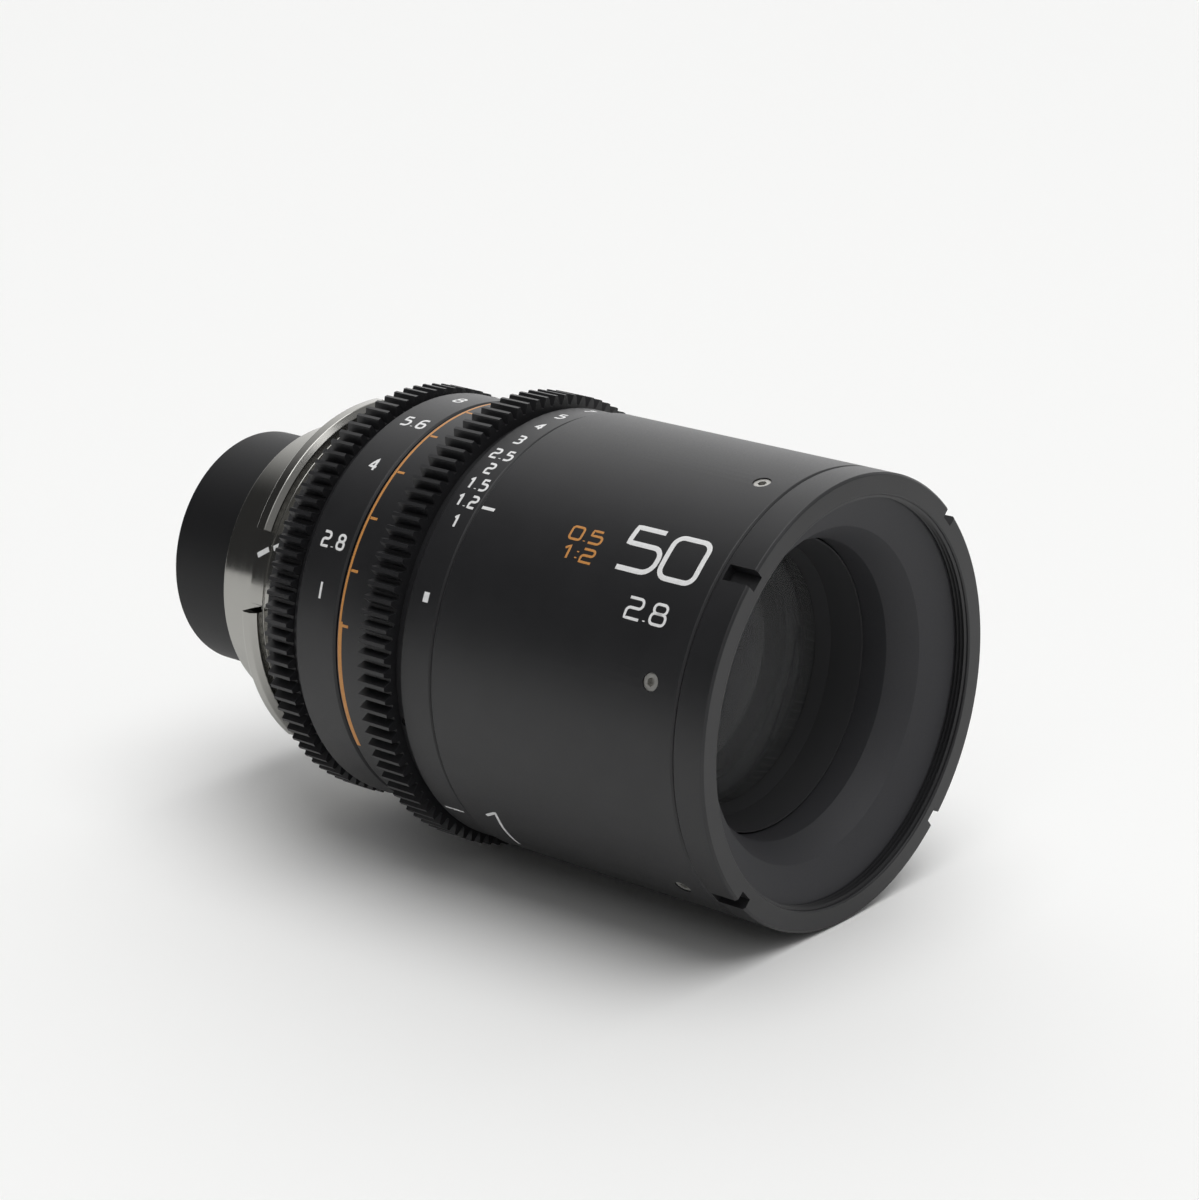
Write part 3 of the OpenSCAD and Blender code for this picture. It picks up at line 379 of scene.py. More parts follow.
glass("rear_first_glass", "lens_body", REAR_GLASS_R, REAR_FIRST_SEAT, REAR_SHOULDER, front=60, rear=60)
glass("rear_second_glass", "lens_body", REAR_GLASS_R, REAR_SECOND_SEAT, REAR_SECOND_EDGE, front=-80, rear=0)
glass("rear_last_glass", "lens_body", REAR_GLASS_R, LOCK_FRONT, REAR_LAST_EDGE, front=90, rear=90,
      coating=rear_coated)
glass("mid_rear_glass", "lens_body", MID_GLASS_R, MID_SEAT, MID_REAR_EDGE, front=90, rear=0)
glass("mid_front_glass", "lens_body", MID_GLASS_R, MID_FRONT_SEAT, MID_FRONT_EDGE, front=60, rear=-90)
glass("third_glass", "focus_group", CELL_GLASS_R, THIRD_SEAT, THIRD_EDGE, front=-70, rear=0)
glass("second_glass", "focus_group", CELL_GLASS_R, SECOND_SEAT, SECOND_EDGE, front=50, rear=120)
glass("front_glass", "focus_group", FRONT_GLASS_R, FRONT_SEAT, FRONT_EDGE, front=80, rear=-70, coating=coated)
piece("rear_spacer_rings", together(*[
    ring(REAR_CLEAR, REAR_GLASS_R, z0, z1)
    for z0, z1 in ((REAR_LAST_EDGE, REAR_SECOND_SEAT), (REAR_SECOND_EDGE, REAR_FIRST_SEAT))
]), ink, "lens_body", "matte", "rear_spacers")

# Focusing cell: a black painted brass cell that slides in the guide tube. Its nose stands in the throat, and
# a ring holds the front glass in it. A fixed cell behind it carries the two middle glasses.
CELL_R, CELL_REAR, CELL_FRONT = 29.15, 52, 79.2
NOSE_R, NOSE_MOUTH_R, NOSE_END = 26.3, 26, 95
NOSE_LOCK, LOCK_TIP = 89.1, 0.1
MID_CELL_REAR, MID_CELL_FRONT = 26.5, 44.5
piece("focus_cell_body", soften(turned([
    (CELL_GLASS_R - LIP, CELL_REAR), (CELL_R, CELL_REAR), (CELL_R, CELL_FRONT), (NOSE_R, CELL_FRONT),
    (NOSE_R, NOSE_END), (NOSE_MOUTH_R, NOSE_END), (FRONT_GLASS_R, NOSE_LOCK), (FRONT_GLASS_R, FRONT_SEAT),
    (CELL_GLASS_R, FRONT_SEAT), (CELL_GLASS_R, THIRD_SEAT), (CELL_GLASS_R - LIP, THIRD_SEAT),
]), width=0.1), inner_paint, "focus_group", "matte", "focus_cell")
piece("front_lock_ring", soften(turned([
    (FRONT_GLASS_R - LIP, FRONT_EDGE), (FRONT_GLASS_R, FRONT_EDGE), (FRONT_GLASS_R, NOSE_LOCK),
    (FRONT_GLASS_R - LOCK_TIP, NOSE_LOCK),
]), width=0.04), inner_paint, "focus_group", "matte", "front_retainer")
piece("cell_rings", together(*[
    ring(CELL_GLASS_R - LIP, CELL_GLASS_R, z0, z1)
    for z0, z1 in ((THIRD_EDGE, SECOND_SEAT), (SECOND_EDGE, CELL_FRONT))
]), ink, "focus_group", "matte", "cell_spacer", "cell_retainer")
piece("mid_cell_body", soften(turned([
    (MID_GLASS_R - LIP, MID_CELL_REAR), (GUIDE_BORE, MID_CELL_REAR), (GUIDE_BORE, MID_CELL_FRONT),
    (MID_GLASS_R, MID_CELL_FRONT), (MID_GLASS_R, MID_SEAT), (MID_GLASS_R - LIP, MID_SEAT),
]), width=0.15), ink, "lens_body", "matte", "mid_cell")

# Iris ring: black anodised aluminium, with a numbered scale and a rim of 0.8 module gear teeth.
# A screw through it drives the iris rotor inside.
GEAR_MODULE = 0.8
PRESSURE_ANGLE = math.radians(20)
TOOTH_LEVELS = (-1.25, -0.4, 0, 0.6, 1)  # in modules from the pitch circle
TOOTH_WELD = 0.002
IRIS_TEETH = 94
IRIS_BORE, IRIS_GROOVE_R, BAND_R = 32.05, 36.4, 37.8
IRIS_REAR, IRIS_GEAR_FRONT, IRIS_SCALE, IRIS_FRONT = 10, 15.4, 17, 26.7
DRIVE_R, DRIVE_FOOT, DRIVE_ANGLE, DRIVE_Z = 1, 28, INDEX + 152, 22.5
SCREW_SINK = 0.6
HOLE_WALL = 1  # a blind hole ends this far from the bore


def gear_rim(teeth, r_in, z0, z1):
    """A gear rim: one tooth with involute flanks, cut from the bar, then repeated round the axis."""
    pitch_r = GEAR_MODULE * teeth / 2
    base_r = pitch_r * math.cos(PRESSURE_ANGLE)
    roll = math.tan(PRESSURE_ANGLE) - PRESSURE_ANGLE
    half_pitch = 180 / teeth
    flank = []
    for level in TOOTH_LEVELS:
        r = pitch_r + level * GEAR_MODULE
        a = math.acos(min(1, base_r / r))
        flank.append((r, 90 / teeth + math.degrees(roll - math.tan(a) + a)))
    root_r = flank[0][0]
    outline = [(r_in, -half_pitch), (root_r, -half_pitch)]
    outline += [(r, -a) for r, a in flank] + [(r, a) for r, a in flank[::-1]]
    outline += [(root_r, half_pitch), (r_in, half_pitch)]
    bm = bmesh.new()
    verts = [bm.verts.new(at(r, INDEX + a, z0)) for r, a in outline]
    face = bm.faces.new(verts)
    seams = [bm.edges.get(verts[:2]), bm.edges.get(verts[-2:])]
    end = bmesh.ops.extrude_face_region(bm, geom=[face], use_keep_orig=True)["geom"]
    bmesh.ops.translate(bm, vec=at(0, 0, z1 - z0), verts=[v for v in end if isinstance(v, bmesh.types.BMVert)])
    bmesh.ops.delete(bm, geom=[f for e in seams for f in e.link_faces if f != face], context="FACES_ONLY")
    bmesh.ops.spin(bm, geom=bm.verts[:] + bm.edges[:] + bm.faces[:], cent=(0, 0, 0), axis=(0, -1, 0),
                   angle=math.tau * (teeth - 1) / teeth, steps=teeth - 1, use_duplicate=True)
    bmesh.ops.remove_doubles(bm, verts=bm.verts, dist=TOOTH_WELD * MM)
    bmesh.ops.recalc_face_normals(bm, faces=bm.faces)
    return bm


def chamfered(r, z0, z1):
    """The outer points of a band with a chamfer at both ends."""
    return [(r - CHAMFER, z0), (r, z0 + CHAMFER), (r, z1 - CHAMFER), (r - CHAMFER, z1)]


piece("iris_gear_rim", gear_rim(IRIS_TEETH, IRIS_BORE, IRIS_REAR, IRIS_GEAR_FRONT),
      anodised, "iris", "black")
iris_band = soften(turned([
    (IRIS_BORE, IRIS_GEAR_FRONT), (IRIS_GROOVE_R, IRIS_GEAR_FRONT), (IRIS_GROOVE_R, IRIS_SCALE),
    *chamfered(BAND_R, IRIS_SCALE, IRIS_FRONT), (IRIS_BORE, IRIS_FRONT),
]), width=0.08)
iris_band = cut(iris_band, rod(DRIVE_R, at(IRIS_BORE + HOLE_WALL, DRIVE_ANGLE, DRIVE_Z),
                               at(BAND_R + OVERCUT, DRIVE_ANGLE, DRIVE_Z)))
piece("iris_scale_band", iris_band, anodised, "iris", "black", "iris_ring")

# Black oxide steel: the small socket screws, dark with a slight brown and worn bright in their sockets.
OXIDE_GRAIN = 0.4
oxide, tree, skin = finish("black_oxide_steel", "#3a3836", Metallic=1)
place = add(tree, "TexCoord", {})
grain = add(tree, "TexNoise", {"Vector": place.outputs["Object"], "Scale": 1 / (OXIDE_GRAIN * MM), "Detail": 3})
worn = add(tree, "MapRange", {"Value": grain.outputs["Fac"], "To Min": 0.28, "To Max": 0.46})
tree.links.new(worn.outputs["Result"], skin.inputs["Roughness"])
piece("iris_drive_screw_head", socket_screw(
    DRIVE_R, at(DRIVE_FOOT, DRIVE_ANGLE, DRIVE_Z), at(BAND_R - SCREW_SINK, DRIVE_ANGLE, DRIVE_Z),
    socket_r=0.5, socket_depth=0.8
), oxide, "iris", "screws", "iris_drive_screw")

# Index band: the fixed black anodised ring between the iris and focus rings, held by three set screws.
# An orange line is filled into a groove at its rear edge.
INDEX_REAR, INDEX_FRONT = 27, 35.5
INDEX_SCREW_R, INDEX_SCREW_FOOT, INDEX_SCREW_Z = 1.2, 30.5, 31.25
index_screw_angles = [INDEX + 120 + 60 * i for i in range(3)]
index_band = soften(turned([
    (GUIDE_R, INDEX_REAR), *chamfered(BAND_R, INDEX_REAR, INDEX_FRONT), (GUIDE_R, INDEX_FRONT),
]), width=0.08)
index_band = cut(index_band, together(*[
    rod(INDEX_SCREW_R, at(GUIDE_R + HOLE_WALL, a, INDEX_SCREW_Z), at(BAND_R + OVERCUT, a, INDEX_SCREW_Z))
    for a in index_screw_angles
]))
piece("index_band_shell", index_band, anodised, "lens_body", "black", "index_band")
piece("index_screw_heads", together(*[
    socket_screw(INDEX_SCREW_R, at(INDEX_SCREW_FOOT, a, INDEX_SCREW_Z),
                 at(BAND_R - SCREW_SINK, a, INDEX_SCREW_Z), socket_r=0.65, socket_depth=0.9)
    for a in index_screw_angles
]), oxide, "lens_body", "screws", "index_screws")

# Focus ring: black anodised aluminium, with a 0.8 module gear rim and a numbered distance scale next to the
# front barrel. Three screws in the groove between them hold it to the cam sleeve.
FOCUS_TEETH = 102
SLEEVE_R, FOCUS_GROOVE_R, SCALE_R = 34.5, 38.4, 39.6
FOCUS_REAR, FOCUS_GEAR_FRONT, FOCUS_SCALE, FOCUS_FRONT = 35.8, 42.2, 44, 51.2
FOCUS_SCREW_R, FOCUS_SCREW_FOOT, FOCUS_SCREW_Z = 0.8, 33, 43.1
FOCUS_SCREW_SINK = 0.2
focus_screw_angles = [INDEX + 60 + 120 * i for i in range(3)]
piece("focus_gear_rim", gear_rim(FOCUS_TEETH, SLEEVE_R, FOCUS_REAR, FOCUS_GEAR_FRONT),
      anodised, "focus", "black")
focus_band = soften(turned([
    (SLEEVE_R, FOCUS_GEAR_FRONT), (FOCUS_GROOVE_R, FOCUS_GEAR_FRONT), (FOCUS_GROOVE_R, FOCUS_SCALE),
    *chamfered(SCALE_R, FOCUS_SCALE, FOCUS_FRONT), (SLEEVE_R, FOCUS_FRONT),
]), width=0.08)
focus_band = cut(focus_band, together(*[
    rod(FOCUS_SCREW_R, at(SLEEVE_R + HOLE_WALL, a, FOCUS_SCREW_Z), at(SCALE_R, a, FOCUS_SCREW_Z))
    for a in focus_screw_angles
]))
piece("focus_scale_band", focus_band, anodised, "focus", "black", "focus_ring")
piece("focus_screw_heads", together(*[
    socket_screw(FOCUS_SCREW_R, at(FOCUS_SCREW_FOOT, a, FOCUS_SCREW_Z),
                 at(FOCUS_GROOVE_R - FOCUS_SCREW_SINK, a, FOCUS_SCREW_Z), socket_r=0.4, socket_depth=0.6)
    for a in focus_screw_angles
]), oxide, "focus", "screws", "focus_screws")

# Front barrel: the long smooth tube over the focusing cell, black anodised aluminium. Six set screws near its
# front end clamp it to the guide tube's head.
FRONT_R, BARREL_BORE = 40, HEAD_R
BARREL_REAR, BARREL_FRONT = 51.5, 104.7
BARREL_SCREW_R, BARREL_SCREW_FOOT, BARREL_SCREW_Z = 1.6, 33, 98.7
BARREL_SCREW_SINK = 0.25
barrel_screw_angles = [INDEX + 30 + 60 * i for i in range(6)]
barrel = soften(turned([
    (BARREL_BORE, BARREL_REAR), *chamfered(FRONT_R, BARREL_REAR, BARREL_FRONT), (BARREL_BORE, BARREL_FRONT),
]), width=0.08)
barrel = cut(barrel, together(*[
    rod(BARREL_SCREW_R, at(BARREL_BORE - OVERCUT, a, BARREL_SCREW_Z),
        at(FRONT_R + OVERCUT, a, BARREL_SCREW_Z)) for a in barrel_screw_angles
]))
piece("front_barrel_shell", barrel, anodised, "lens_body", "black", "front_barrel")

# Plain steel of the set screws: tumbled dull, so it scatters light and looks pale from every side.
tumbled, tree, skin = finish("tumbled_plain_steel", "#b9b8b4", Metallic=1)
place = add(tree, "TexCoord", {})
grain = add(tree, "TexNoise", {"Vector": place.outputs["Object"], "Scale": 1 / (BLAST_GRAIN * MM), "Detail": 3})
worn = add(tree, "MapRange", {"Value": grain.outputs["Fac"], "To Min": 0.42, "To Max": 0.6})
tree.links.new(worn.outputs["Result"], skin.inputs["Roughness"])
piece("barrel_screw_heads", together(*[
    socket_screw(BARREL_SCREW_R, at(BARREL_SCREW_FOOT, a, BARREL_SCREW_Z),
                 at(FRONT_R - BARREL_SCREW_SINK, a, BARREL_SCREW_Z), socket_r=0.8, socket_depth=1)
    for a in barrel_screw_angles
]), tumbled, "lens_body", "screws", "barrel_screws")

# Front ring: black anodised aluminium, screwed into the barrel's front, with four spanner notches in its rim.
# Its mouth has a filter thread of 0.75 mm pitch, a single ridge that winds round the bore.
RING_FRONT = 111
MOUTH_R, MOUTH_LEAD = 36.3, 0.25
BEZEL_R, BEZEL_FRONT = 36.2, 108
NOTCH_W, NOTCH_FLOOR, NOTCH_REAR = 3, 38, 105.6
THREAD_ROOT, THREAD_FOOT, THREAD_CREST = 36.05, 36.15, 35.6
THREAD_PITCH, THREAD_W = 0.75, 0.6
THREAD_START, THREAD_TURNS, THREAD_STEPS = INDEX + 30, 3, 120
front_ring = soften(turned([
    (MOUTH_R, RING_FRONT), *chamfered(FRONT_R, BARREL_FRONT, RING_FRONT)[::-1], (BARREL_BORE, BARREL_FRONT),
    (BARREL_BORE, HEAD_FRONT), (BEZEL_R, HEAD_FRONT), (BEZEL_R, BEZEL_FRONT), (THREAD_ROOT, BEZEL_FRONT),
    (THREAD_ROOT, RING_FRONT - MOUTH_LEAD),
]), width=0.08)
notch_sweep = math.degrees(NOTCH_W / FRONT_R)
front_ring = cut(front_ring, together(*[
    sector(NOTCH_FLOOR, FRONT_R + OVERCUT, NOTCH_REAR, RING_FRONT + OVERCUT,
           INDEX + 90 * i - notch_sweep / 2, notch_sweep, steps=2) for i in range(4)
]))
piece("front_ring_shell", front_ring, anodised, "lens_body", "black", "front_ring")

thread = bmesh.new()
verts = [thread.verts.new(at(r, THREAD_START, BEZEL_FRONT + z)) for r, z in
         ((THREAD_FOOT, 0), (THREAD_CREST, THREAD_W / 2), (THREAD_FOOT, THREAD_W))]
edges = [thread.edges.new(pair) for pair in zip(verts, verts[1:] + verts[:1])]
bmesh.ops.spin(thread, geom=verts + edges, cent=(0, 0, 0), axis=(0, -1, 0), angle=math.tau * THREAD_TURNS,
               dvec=at(0, 0, THREAD_PITCH / THREAD_STEPS), steps=THREAD_STEPS * THREAD_TURNS)
bmesh.ops.holes_fill(thread, edges=[e for e in thread.edges if e.is_boundary], sides=3)
bmesh.ops.recalc_face_normals(thread, faces=thread.faces)
piece("filter_thread_ridge", thread, anodised, "lens_body", "black")

# Bezel: a shade inside the mouth, two cones that lead down to the throat round the cell's nose.
# It is turned from aluminium and screwed into the front ring.
CONE_R, CONE_STEP_R, CONE_STEP = 35.6, 29.6, 104.8
THROAT_R, THROAT_FRONT, THROAT_REAR = 26.6, 99.8, 94.5
SPIGOT_R = 28.6

# Matt black anodised aluminium: blasted coarser than the barrel, so it is greyer and has no gloss.
matt_anodised, tree, skin = finish("matt_black_anodised_aluminium", "#343437", Roughness=0.65)
place = add(tree, "TexCoord", {})
grain = add(tree, "TexNoise", {"Vector": place.outputs["Object"], "Scale": 1 / (BLAST_GRAIN * MM), "Detail": 4})
shade = add(tree, "Mix", {"Factor": grain.outputs["Fac"], 6: linear("#303033"), 7: linear("#38383b")},
            data_type="RGBA")
tree.links.new(shade.outputs[2], skin.inputs["Base Color"])
bump = add(tree, "Bump", {"Height": grain.outputs["Fac"], "Strength": 0.2, "Distance": 0.02 * MM})
tree.links.new(bump.outputs["Normal"], skin.inputs["Normal"])
piece("bezel_shade", soften(turned([
    (BEZEL_R, HEAD_FRONT), (BEZEL_R, BEZEL_FRONT), (CONE_R, BEZEL_FRONT), (CONE_STEP_R, CONE_STEP),
    (THROAT_R, THROAT_FRONT), (THROAT_R, THROAT_REAR), (SPIGOT_R, THROAT_REAR), (SPIGOT_R, SEAT_Z),
    (SEAT_R, SEAT_Z), (SEAT_R, HEAD_FRONT),
]), width=0.1), matt_anodised, "lens_body", "matte", "front_bezel")

# Markings: engraved with a round cutter and filled with white or orange paint, so each figure is a stroke of
# one width with round turns. A corner of a stroke is (across, up) in figure heights, with its radius if round.
ROUND = 0.22
STROKES = {
    "0": [[(0.3, 0), (0.6, 0, ROUND), (0.6, 1, ROUND), (0, 1, ROUND), (0, 0, ROUND), (0.3, 0)]],
    "1": [[(0.15, 0.75), (0.38, 1), (0.38, 0)]],
    "2": [[(0, 1), (0.6, 1, ROUND), (0.6, 0.52, ROUND), (0, 0.52, ROUND), (0, 0), (0.6, 0)]],
    "3": [[(0, 1), (0.6, 1, ROUND), (0.6, 0.53, ROUND), (0.15, 0.53)],
          [(0.22, 0.53), (0.6, 0.53, ROUND), (0.6, 0, ROUND), (0, 0)]],
    "4": [[(0.45, 0), (0.45, 1), (0, 0.3), (0.62, 0.3)]],
    "5": [[(0.5, 1), (0.02, 1), (0, 0.6), (0.6, 0.6, ROUND), (0.6, 0, 0.3), (0, 0)]],
    "6": [[(0.56, 1), (0, 1, 0.3), (0, 0, ROUND), (0.6, 0, ROUND), (0.6, 0.55, ROUND), (0, 0.55)]],
    "7": [[(0, 1), (0.6, 1), (0.2, 0)]],
    "8": [[(0.3, 0.53), (0.56, 0.53, ROUND), (0.56, 1, ROUND), (0.04, 1, ROUND), (0.04, 0.53, ROUND),
           (0.3, 0.53)],
          [(0.3, 0.53), (0.6, 0.53, ROUND), (0.6, 0, ROUND), (0, 0, ROUND), (0, 0.53, ROUND), (0.3, 0.53)]],
    ".": [[(0.08, 0), (0.08, 0.06)]],
    ":": [[(0.1, 0.15), (0.1, 0.24)], [(0.1, 0.62), (0.1, 0.71)]],
}
WIDE = 0.6
NARROW = {".": 0.16, ":": 0.2}
ROUND_PULL, ROUND_POINTS = 0.55, 7
PAINT_STEP = 0.5
PAINT_RISE = 0.025


def figures(text, z, angle, height, r, stretch=1, gap=0.3):
    """The strokes of a number that reads forwards, as (z, arc) points of the unrolled band."""
    widths = [NARROW.get(character, WIDE) * stretch for character in text]
    pen = z - height * (sum(widths) + gap * (len(text) - 1)) / 2
    arc = math.radians(INDEX - angle) * r - height / 2
    strokes = []
    for character, width in zip(text, widths):
        for stroke in STROKES[character]:
            corners = [Vector((pen + height * u * stretch, arc + height * v)) for u, v, *_ in stroke]
            path = [corners[0]]
            for before, corner, after, (_, _, *radius) in zip(corners, corners[1:], corners[2:], stroke[1:]):
                if radius:
                    reach = radius[0] * height
                    tangents = [corner + (end - corner).normalized() * reach for end in (before, after)]
                    handles = [tangent.lerp(corner, ROUND_PULL) for tangent in tangents]
                    path += interpolate_bezier(tangents[0], *handles, tangents[1], ROUND_POINTS)
                else:
                    path.append(corner)
            strokes.append(path + [corners[-1]])
        pen += height * (width + gap)
    return strokes


def line(r, *ends):
    """One line on a band, through its (z, angle) ends."""
    return [Vector((z, math.radians(INDEX - angle) * r)) for z, angle in ends]


def painted(name, strokes, r, material, body, slot, width):
    """Strokes of one width on a band, as a skin of paint that follows its curve."""
    curve = bpy.data.curves.new(name, "CURVE")
    curve.dimensions = "3D"
    curve.bevel_depth = width / 2
    curve.bevel_resolution = 2
    curve.use_fill_caps = True
    for stroke in strokes:
        points = [stroke[0]]
        for a, b in zip(stroke, stroke[1:]):
            n = max(1, round((b - a).length / PAINT_STEP))
            points += [a.lerp(b, k / n) for k in range(1, n + 1)]
        spline = curve.splines.new("POLY")
        if (points[-1] - points[0]).length < PAINT_RISE:
            points.pop()
            spline.use_cyclic_u = True
        spline.points.add(len(points) - 1)
        for point, (u, v) in zip(spline.points, points):
            point.co = (u, v, 0, 1)
    flat = bpy.data.objects.new(name + "_flat", curve)
    bpy.context.scene.collection.objects.link(flat)
    bm = bmesh.new()
    bm.from_mesh(flat.evaluated_get(bpy.context.evaluated_depsgraph_get()).to_mesh())
    bpy.data.curves.remove(curve)
    for vert in bm.verts:
        u, v, rise = vert.co
        vert.co = at(r + rise * 2 * PAINT_RISE / width, INDEX - math.degrees(v / r), u)
    piece(name, bm, material, body, slot)


# Filler paint: a soft enamel, half matt, that fills the cuts a little unevenly.
FILL_SPECK = 0.5


def enamel(name, low, high):
    """A filler paint that varies between two tones."""
    material, tree, skin = finish(name, low, Roughness=0.5)
    place = add(tree, "TexCoord", {})
    speck = add(tree, "TexNoise", {"Vector": place.outputs["Object"], "Scale": 1 / (FILL_SPECK * MM),
                                   "Detail": 2})
    shade = add(tree, "Mix", {"Factor": speck.outputs["Fac"], 6: linear(low), 7: linear(high)},
                data_type="RGBA")
    tree.links.new(shade.outputs[2], skin.inputs["Base Color"])
    return material


white = enamel("white_filler_enamel", "#dedede", "#f4f4f4")
orange = enamel("orange_filler_enamel", "#c0813f", "#d09350")

painted("focal_length_figures",
        figures("50", z=92.5, angle=132.7, height=8, r=FRONT_R, stretch=1.52, gap=0.16),
        FRONT_R, white, "lens_body", "black", width=0.95)
painted("opening_figures",
        figures("2.8", z=94.2, angle=147.3, height=3.5, r=FRONT_R, stretch=1.45, gap=0.19),
        FRONT_R, white, "lens_body", "black", width=0.5)
painted("ratio_figures",
        figures("0.5", z=75.9, angle=132.6, height=2.4, r=FRONT_R, stretch=1.7, gap=0.25) +
        figures("1:2", z=75.9, angle=137.8, height=2.4, r=FRONT_R, stretch=1.7, gap=0.25),
        FRONT_R, orange, "lens_body", "black", width=0.45)

DISTANCES = [("1", 137), ("1.2", 131), ("1.5", 125.5), ("2", 120), ("2.5", 114.5), ("3", 107.5), ("4", 99.5),
             ("5", 91), ("7", 80), ("10", 66), ("15", 49), ("30", 30), ("60", 8)]
DISTANCE_Z, DISTANCE_HEIGHT = 47.9, 2.3
strokes = [line(SCALE_R, (45.4, 221.2), (49.8, 221.2))]
for text, angle in DISTANCES:
    strokes += figures(text, DISTANCE_Z, angle, DISTANCE_HEIGHT, SCALE_R)
painted("distance_figures", strokes, SCALE_R, white, "focus", "black", width=0.48)
painted("distance_dot", [line(SCALE_R, (47.3, 157.6), (48.5, 157.6))],
        SCALE_R, white, "focus", "black", width=1.8)

OPENINGS = [("2.8", 149.5), ("4", 125.4), ("5.6", 107), ("8", 88.5), ("11", 70), ("16", 51.5), ("22", 33)]
OPENING_Z, OPENING_HEIGHT = 22.2, 2.6
strokes = [line(BAND_R, (OPENING_Z, 161), (OPENING_Z, 165.5))]
for text, angle in OPENINGS:
    strokes += figures(text, OPENING_Z, angle, OPENING_HEIGHT, BAND_R)
painted("opening_scale_figures", strokes, BAND_R, white, "iris", "black", width=0.5)

painted("index_line", [line(BAND_R, (27.8, 40), (27.8, 170))],
        BAND_R, orange, "lens_body", "black", width=0.5)
painted("index_line_end", [line(BAND_R, (28, 170), (28, 208))],
        BAND_R, orange, "lens_body", "black", width=0.9)
painted("index_ticks", [line(BAND_R, (28.2, a), (29.8, a)) for a in range(51, 172, 15)],
        BAND_R, orange, "lens_body", "black", width=0.5)
painted("focus_index", [line(FRONT_R, (52.2, 132), (55, 132)),
                        line(FRONT_R, (57, 217.2), (60, 214.5), (59, 222), (58.2, 232))],
        FRONT_R, white, "lens_body", "black", width=0.6)
painted("mount_index", [line(WING_ROOT, (0.5, 159.2), (2.8, 156.4))],
        WING_ROOT, white, "lens_body", "stainless", width=1)
painted("neck_index", [line(NECK_R, (3.6, 155.8), (6.4, 152.6))],
        NECK_R, white, "lens_body", "stainless", width=1)

# Inner pieces: the cam sleeve, its followers, the iris and its blades, pins, spacers and the mount's shim.
# No one sees them from outside, so they keep their solid shapes and get the finish they are made in.

# Turned brass: warm and bright, with the same turning lines as the steel.
brass, tree, skin = finish("turned_brass", "#b08d4f", Metallic=1)
place = add(tree, "TexCoord", {})
lines = add(tree, "Mapping", {"Vector": place.outputs["Object"], "Scale": turning})
grain = add(tree, "TexNoise", {"Vector": lines.outputs["Vector"], "Scale": 1, "Detail": 2})
worn = add(tree, "MapRange", {"Value": grain.outputs["Fac"], "To Min": 0.22, "To Max": 0.4})
tree.links.new(worn.outputs["Result"], skin.inputs["Roughness"])
inner_finishes = {"matte": inner_paint, "pins": steel, "brass": brass, "blades": oxide, "glass": coated,
                  "black": anodised, "screws": oxide, "stainless": steel}
for subpart in frame["record"]["subparts"]:
    node = frame["nodes"][subpart["node"]]
    node.material_slots[0].material = inner_finishes[subpart["material_slot"]]

# Table: a wide white laminate board. The lens lies on its focus gear and the front ring's rim, so the board
# tilts a little against the axis. Both resting points are (y, z).
GEAR_REST = (-(FOCUS_REAR + FOCUS_GEAR_FRONT) / 2, -GEAR_MODULE * (FOCUS_TEETH + 2) / 2)
RIM_REST = (-RING_FRONT, -FRONT_R)
TABLE_HALF = 20  # metres
slope = (RIM_REST[1] - GEAR_REST[1]) / (RIM_REST[0] - GEAR_REST[0])
table_mesh = bmesh.new()
bmesh.ops.create_grid(table_mesh, x_segments=1, y_segments=1, size=TABLE_HALF,
                      matrix=Matrix.Translation((0, 0, (GEAR_REST[1] - slope * GEAR_REST[0]) * MM)) @
                      Matrix.Rotation(math.atan(slope), 4, "X"))
mesh = bpy.data.meshes.new("table")
table_mesh.to_mesh(mesh)
table_mesh.free()
table = bpy.data.objects.new("table", mesh)
bpy.context.scene.collection.objects.link(table)

# White laminate: pressed with a fine matt texture, so it has no clear reflection.
PRESS_GRAIN = 2
laminate, tree, skin = finish("white_table_laminate", "#f4f4f3")
place = add(tree, "TexCoord", {})
grain = add(tree, "TexNoise", {"Vector": place.outputs["Object"], "Scale": 1 / (PRESS_GRAIN * MM), "Detail": 2})
rough = add(tree, "MapRange", {"Value": grain.outputs["Fac"], "To Min": 0.62, "To Max": 0.78})
tree.links.new(rough.outputs["Result"], skin.inputs["Roughness"])
mesh.materials.append(laminate)

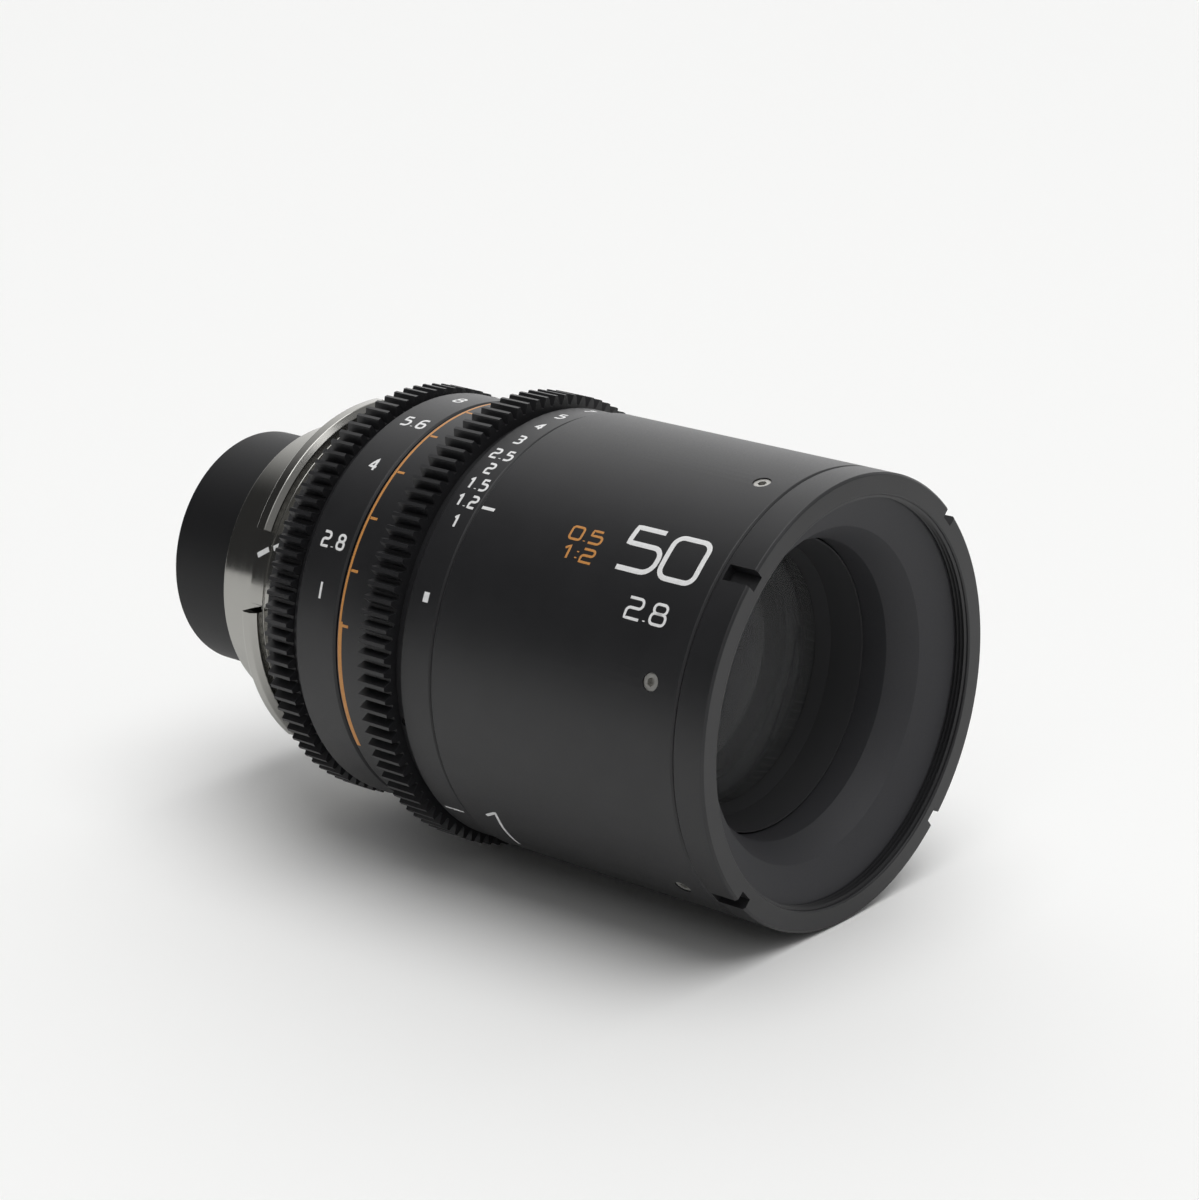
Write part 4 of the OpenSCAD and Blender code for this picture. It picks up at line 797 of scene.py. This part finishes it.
# Studio: a white backdrop stands behind the table, bright on the right and dark on the left, and an even dim
# room lies in front. A wide panel hangs overhead, and a small soft box on the left fills the shadows.
world = bpy.data.worlds.new("studio")
bpy.context.scene.world = world
world.use_nodes = True
tree = world.node_tree
way = add(tree, "TexCoord", {})
across = add(tree, "SeparateXYZ", {"Vector": way.outputs["Generated"]})
backdrop = add(tree, "MapRange", {"Value": across.outputs["X"], "From Min": -0.32, "From Max": 0.74,
                                  "To Min": 0.05, "To Max": 1.3}, interpolation_type="SMOOTHSTEP")
front_half = add(tree, "MapRange", {"Value": across.outputs["Y"], "From Min": 0.2, "From Max": -0.4},
                 interpolation_type="SMOOTHSTEP")
room = add(tree, "Mix", {"Factor": front_half.outputs["Result"], 2: backdrop.outputs["Result"], 3: 0.3},
           data_type="FLOAT")
tree.nodes["Background"].inputs["Color"].default_value = linear("#ffffff")
tree.links.new(room.outputs[0], tree.nodes["Background"].inputs["Strength"])


def lamp(name, kind, place, aim, **settings):
    """A lamp at a place, in metres, that faces a point."""
    light = bpy.data.lights.new(name, kind)
    for setting, value in settings.items():
        setattr(light, setting, value)
    obj = bpy.data.objects.new(name, light)
    obj.location = place
    obj.rotation_euler = (Vector(aim) - Vector(place)).to_track_quat("-Z", "Y").to_euler()
    bpy.context.scene.collection.objects.link(obj)


lamp("overhead_panel", "SUN", (0, -0.125, 1), (0, 0, 0), angle=math.radians(55), energy=1.75)
lamp("left_fill", "AREA", (-1.2, -0.7, 1.6), (0, -0.05, 0), size=1.2, energy=4)

# Camera: the photo's view, from the front left and a little above, through a long lens. Its place is in
# metres, and its focal length and sensor are millimetres.
CAMERA_PLACE = (-0.45484, -0.43658, 0.20248)
CAMERA_VIEW = (0.7284, 0.6095, -0.3130)
camera_data = bpy.data.cameras.new("camera")
camera_data.lens = 105.1
camera_data.sensor_width = 36
camera = bpy.data.objects.new("camera", camera_data)
camera.location = CAMERA_PLACE
camera.rotation_euler = Vector(CAMERA_VIEW).to_track_quat("-Z", "Y").to_euler()
bpy.context.scene.collection.objects.link(camera)
bpy.context.scene.camera = camera
bpy.context.scene.view_settings.view_transform = "Standard"
